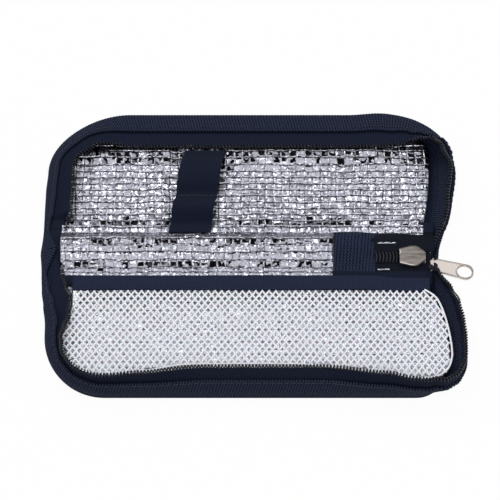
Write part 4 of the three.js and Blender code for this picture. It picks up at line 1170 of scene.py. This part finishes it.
strap = strap_grid()
loops = sheet_piece("pen_loop_tape", strap, STRAP_THICKNESS, tape_finish)
bend_as(loops)
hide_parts("pen_loop_strap")
seam = strap[:, int(STRAP_SEAM * (strap.shape[1] - 1))] + (0, 0, 0.4)
ride_as(row_piece("pen_loop_stitches", seam, (0, 0, 1), LOOP_STITCH_PITCH, stitch, thread_finish),
        "lid", "woven_tape", "pen_loop_stitching")

# The zip's own plane: X along it, Y across, Z away from the pull
PLATE_OUTER = 2.5
PULL_PIVOT = (76.65, 0, -PLATE_OUTER - 0.3 - 0.95)
PULL_TURN = -14.5


def turned_plane(place, degrees, axis):
    return Matrix.Translation(place) @ Matrix.Rotation(math.radians(degrees), 4, axis)


zip_plane = turned_plane((0, CHAIN_Y, CHAIN_HEIGHT), CHAIN_TILT, "X")
pull_plane = zip_plane @ turned_plane(PULL_PIVOT, PULL_TURN, "Z")


def moved(points, matrix):
    turned = np.array(matrix.to_3x3())
    return np.asarray(points, float) @ turned.T + np.array(matrix.translation)


# Closed chain: interlocked coil turns read as curved ribs across the tape
RIB_REACH = 2.8
RIB_PITCH = 1.36
across = np.linspace(-RIB_REACH, RIB_REACH, 9)
rib_line = np.stack([0.55 * (1 - (across / RIB_REACH) ** 2), across, 0.5 * (1 - (across / 2.9) ** 4)], -1)
rib = template_of("chain_rib", *tube(rib_line, 0.4, 6), coil_finish)
chain_line = moved(grid_of(np.linspace(CHAIN_LEFT + 0.3, CHAIN_RIGHT - 0.9, 30), 0, 0.1), zip_plane)
chain = row_piece("closed_chain_ribs", chain_line, np.array(zip_plane.to_3x3())[:, 2], RIB_PITCH, rib,
                  coil_finish)
ride_as(chain, "spine", "coil_nylon", "closed_zip_chain")
# Tape under the chain and at the slider's nose, in the darker tape: painted shade
for name, left, right in (("chain_bed", CHAIN_LEFT - 2, CHAIN_RIGHT + 0.6), ("chain_bed_end", 80.4, 82.6)):
    bed = moved(flat_grid(left, right, -RIB_REACH, RIB_REACH, -0.45, 0.5), zip_plane)
    ride_as(sheet_piece(name, bed, 0.8, shaded_finish), "spine", "woven_tape")


# Tapes on both sides of the chain
def across_chain(distance):
    lean = math.radians(CHAIN_TILT)
    return CHAIN_Y + distance * math.cos(lean), CHAIN_HEIGHT + distance * math.sin(lean)


def tail_tape(name, corners, right, solid):
    line = soft_line(corners, 30)
    x = np.arange(CHAIN_LEFT - 2.2, right + 0.3, 0.6)[:, None]
    grid = grid_of(x, line[:, 0], line[:, 1])
    grid[..., 2] += 0.25 * cloud(grid[..., 0], grid[..., 1], 6, 91)
    # Darker tape: painted shade beside the chain
    ride_as(sheet_piece(name, grid, TAPE_THICKNESS, shaded_finish), "spine", "woven_tape", solid)


top_side = across_chain(5.4)
sloping = (top_side[0] * 0.6 + (FOLD_TWO_Y - 1) * 0.4, top_side[1] - 0.4)
near_side = [(FOLD_ONE_Y + 1, FOLD_HEIGHT), across_chain(-5.4), across_chain(-2.6)]
far_side = [across_chain(2.6), top_side, sloping, (FOLD_TWO_Y - 1, FOLD_HEIGHT)]
tail_tape("near_tail_tape", near_side, 82.6, "tray_side_tail_tape")
tail_tape("far_tail_tape", far_side, 84.4, "lid_side_tail_tape")

# Raw foil that peeps out along both sides of the chain: right end, Y, height
FRINGE_LEFT = 59
for name, right, y, height in (("far_foil_fringe", 67.5, 47.4, 8.45), ("near_foil_fringe", 64.5, 34.4, 6.0)):
    fringe = flat_grid(FRINGE_LEFT, right, y - 0.4, y + 0.4, height, 0.2)
    fringe[..., 2] += 0.12 * cloud(fringe[..., 0], fringe[..., 1], 0.9, 95)
    ride_as(sheet_piece(name, fringe, 0.3, foil_finish), "spine", "foil")


# Wall ends that cross the folds. Each starts as the wall's own last section and flows into a section
# on the spine, so that the cloth stays one surface. Which end of the wall, the section's corners, and
# how strongly the two sections draw the cloth.
LEFT_CORNERS = ((-90.2, 44.75, 1.3), (-91.2, 44.75, 4.4), (-83.4, 44.75, 9.4), (-79.5, 44.75, 7.6),
                (-78, 44.75, 6.4))
TAIL_ENDS = {
    "lid_right": (-1, ((84.4, 41.2, 1.6), (86.2, 41.6, 3.2), (84.6, 41, 5), (83, 40.6, 6.4),
                       (81, 40.2, 7.2)), (11, 9)),
    "tray_right": (-1, ((84.2, 39.8, 1.6), (86, 39.4, 3.2), (84.4, 39.6, 4.8), (82.8, 39.4, 5.6),
                        (81, 39.2, 6.2)), (5, 5)),
    "lid_left": (0, LEFT_CORNERS, (9, 6)),
    "tray_left": (0, LEFT_CORNERS, (9, 6)),
}
SPINE_INSIDE = (0, 44.0, 20)


def tail_lines(wall, end, corners, pulls):
    """Lines up the wall, from the wall's own end to a section on the spine."""
    place = in_space(wall, wall["line"])
    start, before = place[end], place[-6 if end else 5]
    finish_line = wall_lines(np.asarray(corners, float))
    leave = unit(start - before) * pulls[0]
    arrive = np.array([[0, -wall["half"]["way"], 0.0]]) * pulls[1]
    if end:
        arrive = unit(arrive + (-3, 0, 0)) * pulls[1]
    span = np.linalg.norm(finish_line - start, axis=1).max()
    t = np.linspace(0, 1, int(span / EDGE_PITCH) + 2)[:, None, None]
    return ((2 * t ** 3 - 3 * t ** 2 + 1) * start + (t ** 3 - 2 * t ** 2 + t) * leave
            + (3 * t ** 2 - 2 * t ** 3) * finish_line + (t ** 3 - t ** 2) * arrive)


def tail_grid(lines, start, end, depth, steps):
    """Surface between two places up those lines, moved sideways by a depth."""
    normals = normals_of(lines)
    normals *= np.sign((normals * (np.array(SPINE_INSIDE) - lines)).sum(-1, keepdims=True).mean())
    return between(lines + normals * depth, start, end, steps)


for name, (end, corners, pulls) in TAIL_ENDS.items():
    body = name.split("_")[0]
    lines = tail_lines(walls[body], end, corners, pulls)
    layers = wall_layers(name, ("wall_end", "tape_end", "coil_end"),
                         lambda *places: tail_grid(lines, *places))
    for piece, slot in layers:
        bend_as(piece)
    if name == "lid_left":
        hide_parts("spine_end_gusset")


# Slider: two bent plates and the post between them. Widths at shares of its length.
SLIDER_WIDTHS = ((0, 7.3), (0.12, 7.9), (0.3, 9), (0.5, 10), (0.62, 10), (0.74, 9.2), (0.88, 6.4), (1, 3.2))
PLATE_FLAT = 2.05
PLATE_THICKNESS = 0.85
POST_X = 78.3
POST_RADIUS = 1.25


def slider_plate(name, side, ridge):
    """A plate whose long edges turn towards the chain. Side is 1 for the back plate."""
    along = np.linspace(0, 1, 60)
    half_width = (blurred(np.interp(along, *np.transpose(SLIDER_WIDTHS)), bell(4, 2)) - 0.5) / 2
    crest = PLATE_FLAT + ridge * (ramp(along, 1, 0.72) * 0.5 + 0.5)
    sections = []
    for half, top in zip(half_width, crest):
        corners = [(-half, 0.95), (-half, 1.7), (-half * 0.86, PLATE_FLAT), (0, top),
                   (half * 0.86, PLATE_FLAT), (half, 1.7), (half, 0.95)]
        sections.append(soft_line(corners, 41, 2.2))
    sections = np.array(sections)
    x = SLIDER_REAR + 0.15 + (SLIDER_LENGTH - 0.3) * along[:, None]
    grid = grid_of(x, sections[..., 0], sections[..., 1] * side)
    return sheet_piece(name, moved(grid, zip_plane), PLATE_THICKNESS, zinc_finish)


ride_as(slider_plate("slider_back_plate", 1, 0.7), "slider", "zinc", "slider_body")
ride_as(slider_plate("slider_front_plate", -1, 0.1), "slider", "zinc")
post_line = moved([(POST_X, 0, z) for z in (-1.9, -1, 0, 1, 1.9)], zip_plane)
ride_as(piece_of("slider_post", *tube(post_line, POST_RADIUS, 12), zinc_finish), "slider", "zinc")

bridge = soft_line([(70.7, -2.6), (71, -4.4), (72, -5.1), (77, -5.1), (78.2, -4.4), (78.5, -2.6)], 40, 4)
bridge = moved(grid_of(bridge[:, :1], np.linspace(-1, 1, 7), bridge[:, 1:]), zip_plane)
ride_as(sheet_piece("slider_bridge_loop", bridge, 0.8, zinc_finish), "slider", "zinc", "slider_bridge")


# Pull: a stamped plate with a raised rim, a window for the bridge and an eye
def flat_shape(name, outlines, thickness, bevel, finish, matrix):
    """Plate with rounded edges from flat outlines, set in a plane."""
    curve = bpy.data.curves.new(name, "CURVE")
    curve.dimensions = "2D"
    curve.fill_mode = "BOTH"
    curve.extrude = (thickness / 2 - bevel) * MM
    curve.bevel_depth = bevel * MM
    curve.bevel_resolution = 2
    curve.offset = -bevel * MM
    for outline in outlines:
        spline = curve.splines.new("POLY")
        spline.points.add(len(outline) - 1)
        for point, (x, y) in zip(spline.points, outline):
            point.co = (x * MM, y * MM, 0, 1)
        spline.use_cyclic_u = True
    made = plain_mesh_of(added(name, curve), name)
    place = matrix.copy()
    place.translation = matrix.translation * MM
    made.data.transform(place)
    turn_outwards(made.data, 0.01)
    made.data.materials.clear()
    made.data.materials.append(finish)
    return made


def arc(centre, radius_x, radius_y, start, end, steps):
    angles = np.radians(np.linspace(start, end, steps))
    return np.stack([centre + radius_x * np.cos(angles), radius_y * np.sin(angles)], -1)


PULL_TIP = 25.85
PULL_CORNER = 3.7
PULL_BACK = -0.55
PULL_HALF_WIDTH = 2.7
EYE = (3.35, 2.8)
EYE_RIM = 0.3
EYE_CENTRE = PULL_TIP - 0.8 - EYE[0]
PULL_THICKNESS = 0.9
PULL_BEVEL = 0.14
RIM_RADIUS = 0.36
RIM_HEIGHT = 0.42
RIM_INSET = 0.42


def pull_outline(inset):
    corner = PULL_CORNER - inset
    back, side = PULL_BACK + inset, PULL_HALF_WIDTH - inset
    return np.concatenate([[[back, -side]], arc(PULL_TIP - PULL_CORNER, corner, corner, -90, 90, 40),
                           [[back, side]]])


def eye_outline(outset):
    return arc(EYE_CENTRE, EYE[0] + outset, EYE[1] + outset, 0, 360, 49)[:-1]


window = [(0.55, -1.55), (5.3, -1.55), (5.75, -1.1), (5.75, 1.1), (5.3, 1.55), (0.55, 1.55)]
pull = flat_shape("pull_plate", [pull_outline(0), window, eye_outline(0)], PULL_THICKNESS, PULL_BEVEL,
                  nickel_finish, pull_plane)
ride_as(pull, "pull", "nickel", "pull_tab")
rims = []
for height in (-RIM_HEIGHT, RIM_HEIGHT):
    for outline in (pull_outline(RIM_INSET), eye_outline(EYE_RIM)):
        line = evenly(outline, 120)
        points, faces = tube(grid_of(line[:, 0], line[:, 1], height), RIM_RADIUS, 6, 0.5, closed=True)
        rims.append((moved(points, pull_plane), faces))
ride_as(piece_of("pull_raised_rim", *joined(rims), rim_finish), "pull", "nickel")


# Floor: white paper, which the camera sees as plain white
FLOOR_REACH = 3000
FLOOR_HEIGHT = -0.2
corners = [(x * FLOOR_REACH, y * FLOOR_REACH, FLOOR_HEIGHT) for x, y in ((-1, -1), (1, -1), (1, 1), (-1, 1))]
floor = added("floor", mesh_of("floor", corners, [], [(0, 1, 2, 3)]))
paper, tree = new_material("white_paper")
matt = node(tree, "ShaderNodeBsdfPrincipled", {"Base Color": linear("#f2f2f2"), "Roughness": 0.9})
glow = node(tree, "ShaderNodeEmission", {"Color": (1, 1, 1, 1), "Strength": 1.0})
ray = node(tree, "ShaderNodeLightPath").outputs
seen = node(tree, "ShaderNodeMath", (ray["Is Camera Ray"], ray["Is Glossy Ray"]), operation="MAXIMUM")
seen = node(tree, "ShaderNodeMath", (seen, ray["Is Transmission Ray"]), operation="MAXIMUM")
share = node(tree, "ShaderNodeMath", (seen, 0.96), operation="MULTIPLY")
both = node(tree, "ShaderNodeMixShader", (share, matt, glow))
node(tree, "ShaderNodeOutputMaterial", {"Surface": both})
floor.data.materials.append(paper)

# World: brightest overhead, plain white to the camera
world = bpy.data.worlds.new("studio")
world.use_nodes = True
scene.world = world
tree = world.node_tree
tree.nodes.clear()
way = node(tree, "ShaderNodeSeparateXYZ", (node(tree, "ShaderNodeTexCoord").outputs["Generated"],))
overhead = node(tree, "ShaderNodeMapRange", (way.outputs[2], 0.3, 0.98, 0.08, 0.95))
plain = node(tree, "ShaderNodeBackground", {"Color": (1, 1, 1, 1), "Strength": overhead})
white = node(tree, "ShaderNodeBackground", {"Color": (1, 1, 1, 1), "Strength": 1.0})
ray = node(tree, "ShaderNodeLightPath").outputs
both = node(tree, "ShaderNodeMixShader", (ray["Is Camera Ray"], plain, white))
node(tree, "ShaderNodeOutputWorld", {"Surface": both})

# Lamps, all turned to the case: place and size in metres, power in watts
LAMP_AIM = Vector((0, 0.045, 0))
LAMPS = (
    ("softbox_back_left", (-0.6, 1.1, 1.2), (0.5, 0.35), 7),
    ("softbox_right", (1.1, 0.2, 1.0), (0.5, 0.5), 4),
    ("fill_front", (-0.3, -1.3, 1.4), (0.6, 0.6), 8),
)
for name, place, size, power in LAMPS:
    light = bpy.data.lights.new(name, "AREA")
    light.shape = "RECTANGLE"
    light.size, light.size_y = size
    light.energy = power
    lamp = added(name, light)
    lamp.location = place
    lamp.rotation_euler = (LAMP_AIM - Vector(place)).to_track_quat("-Z", "Y").to_euler()

for template in templates:
    bpy.data.objects.remove(template)
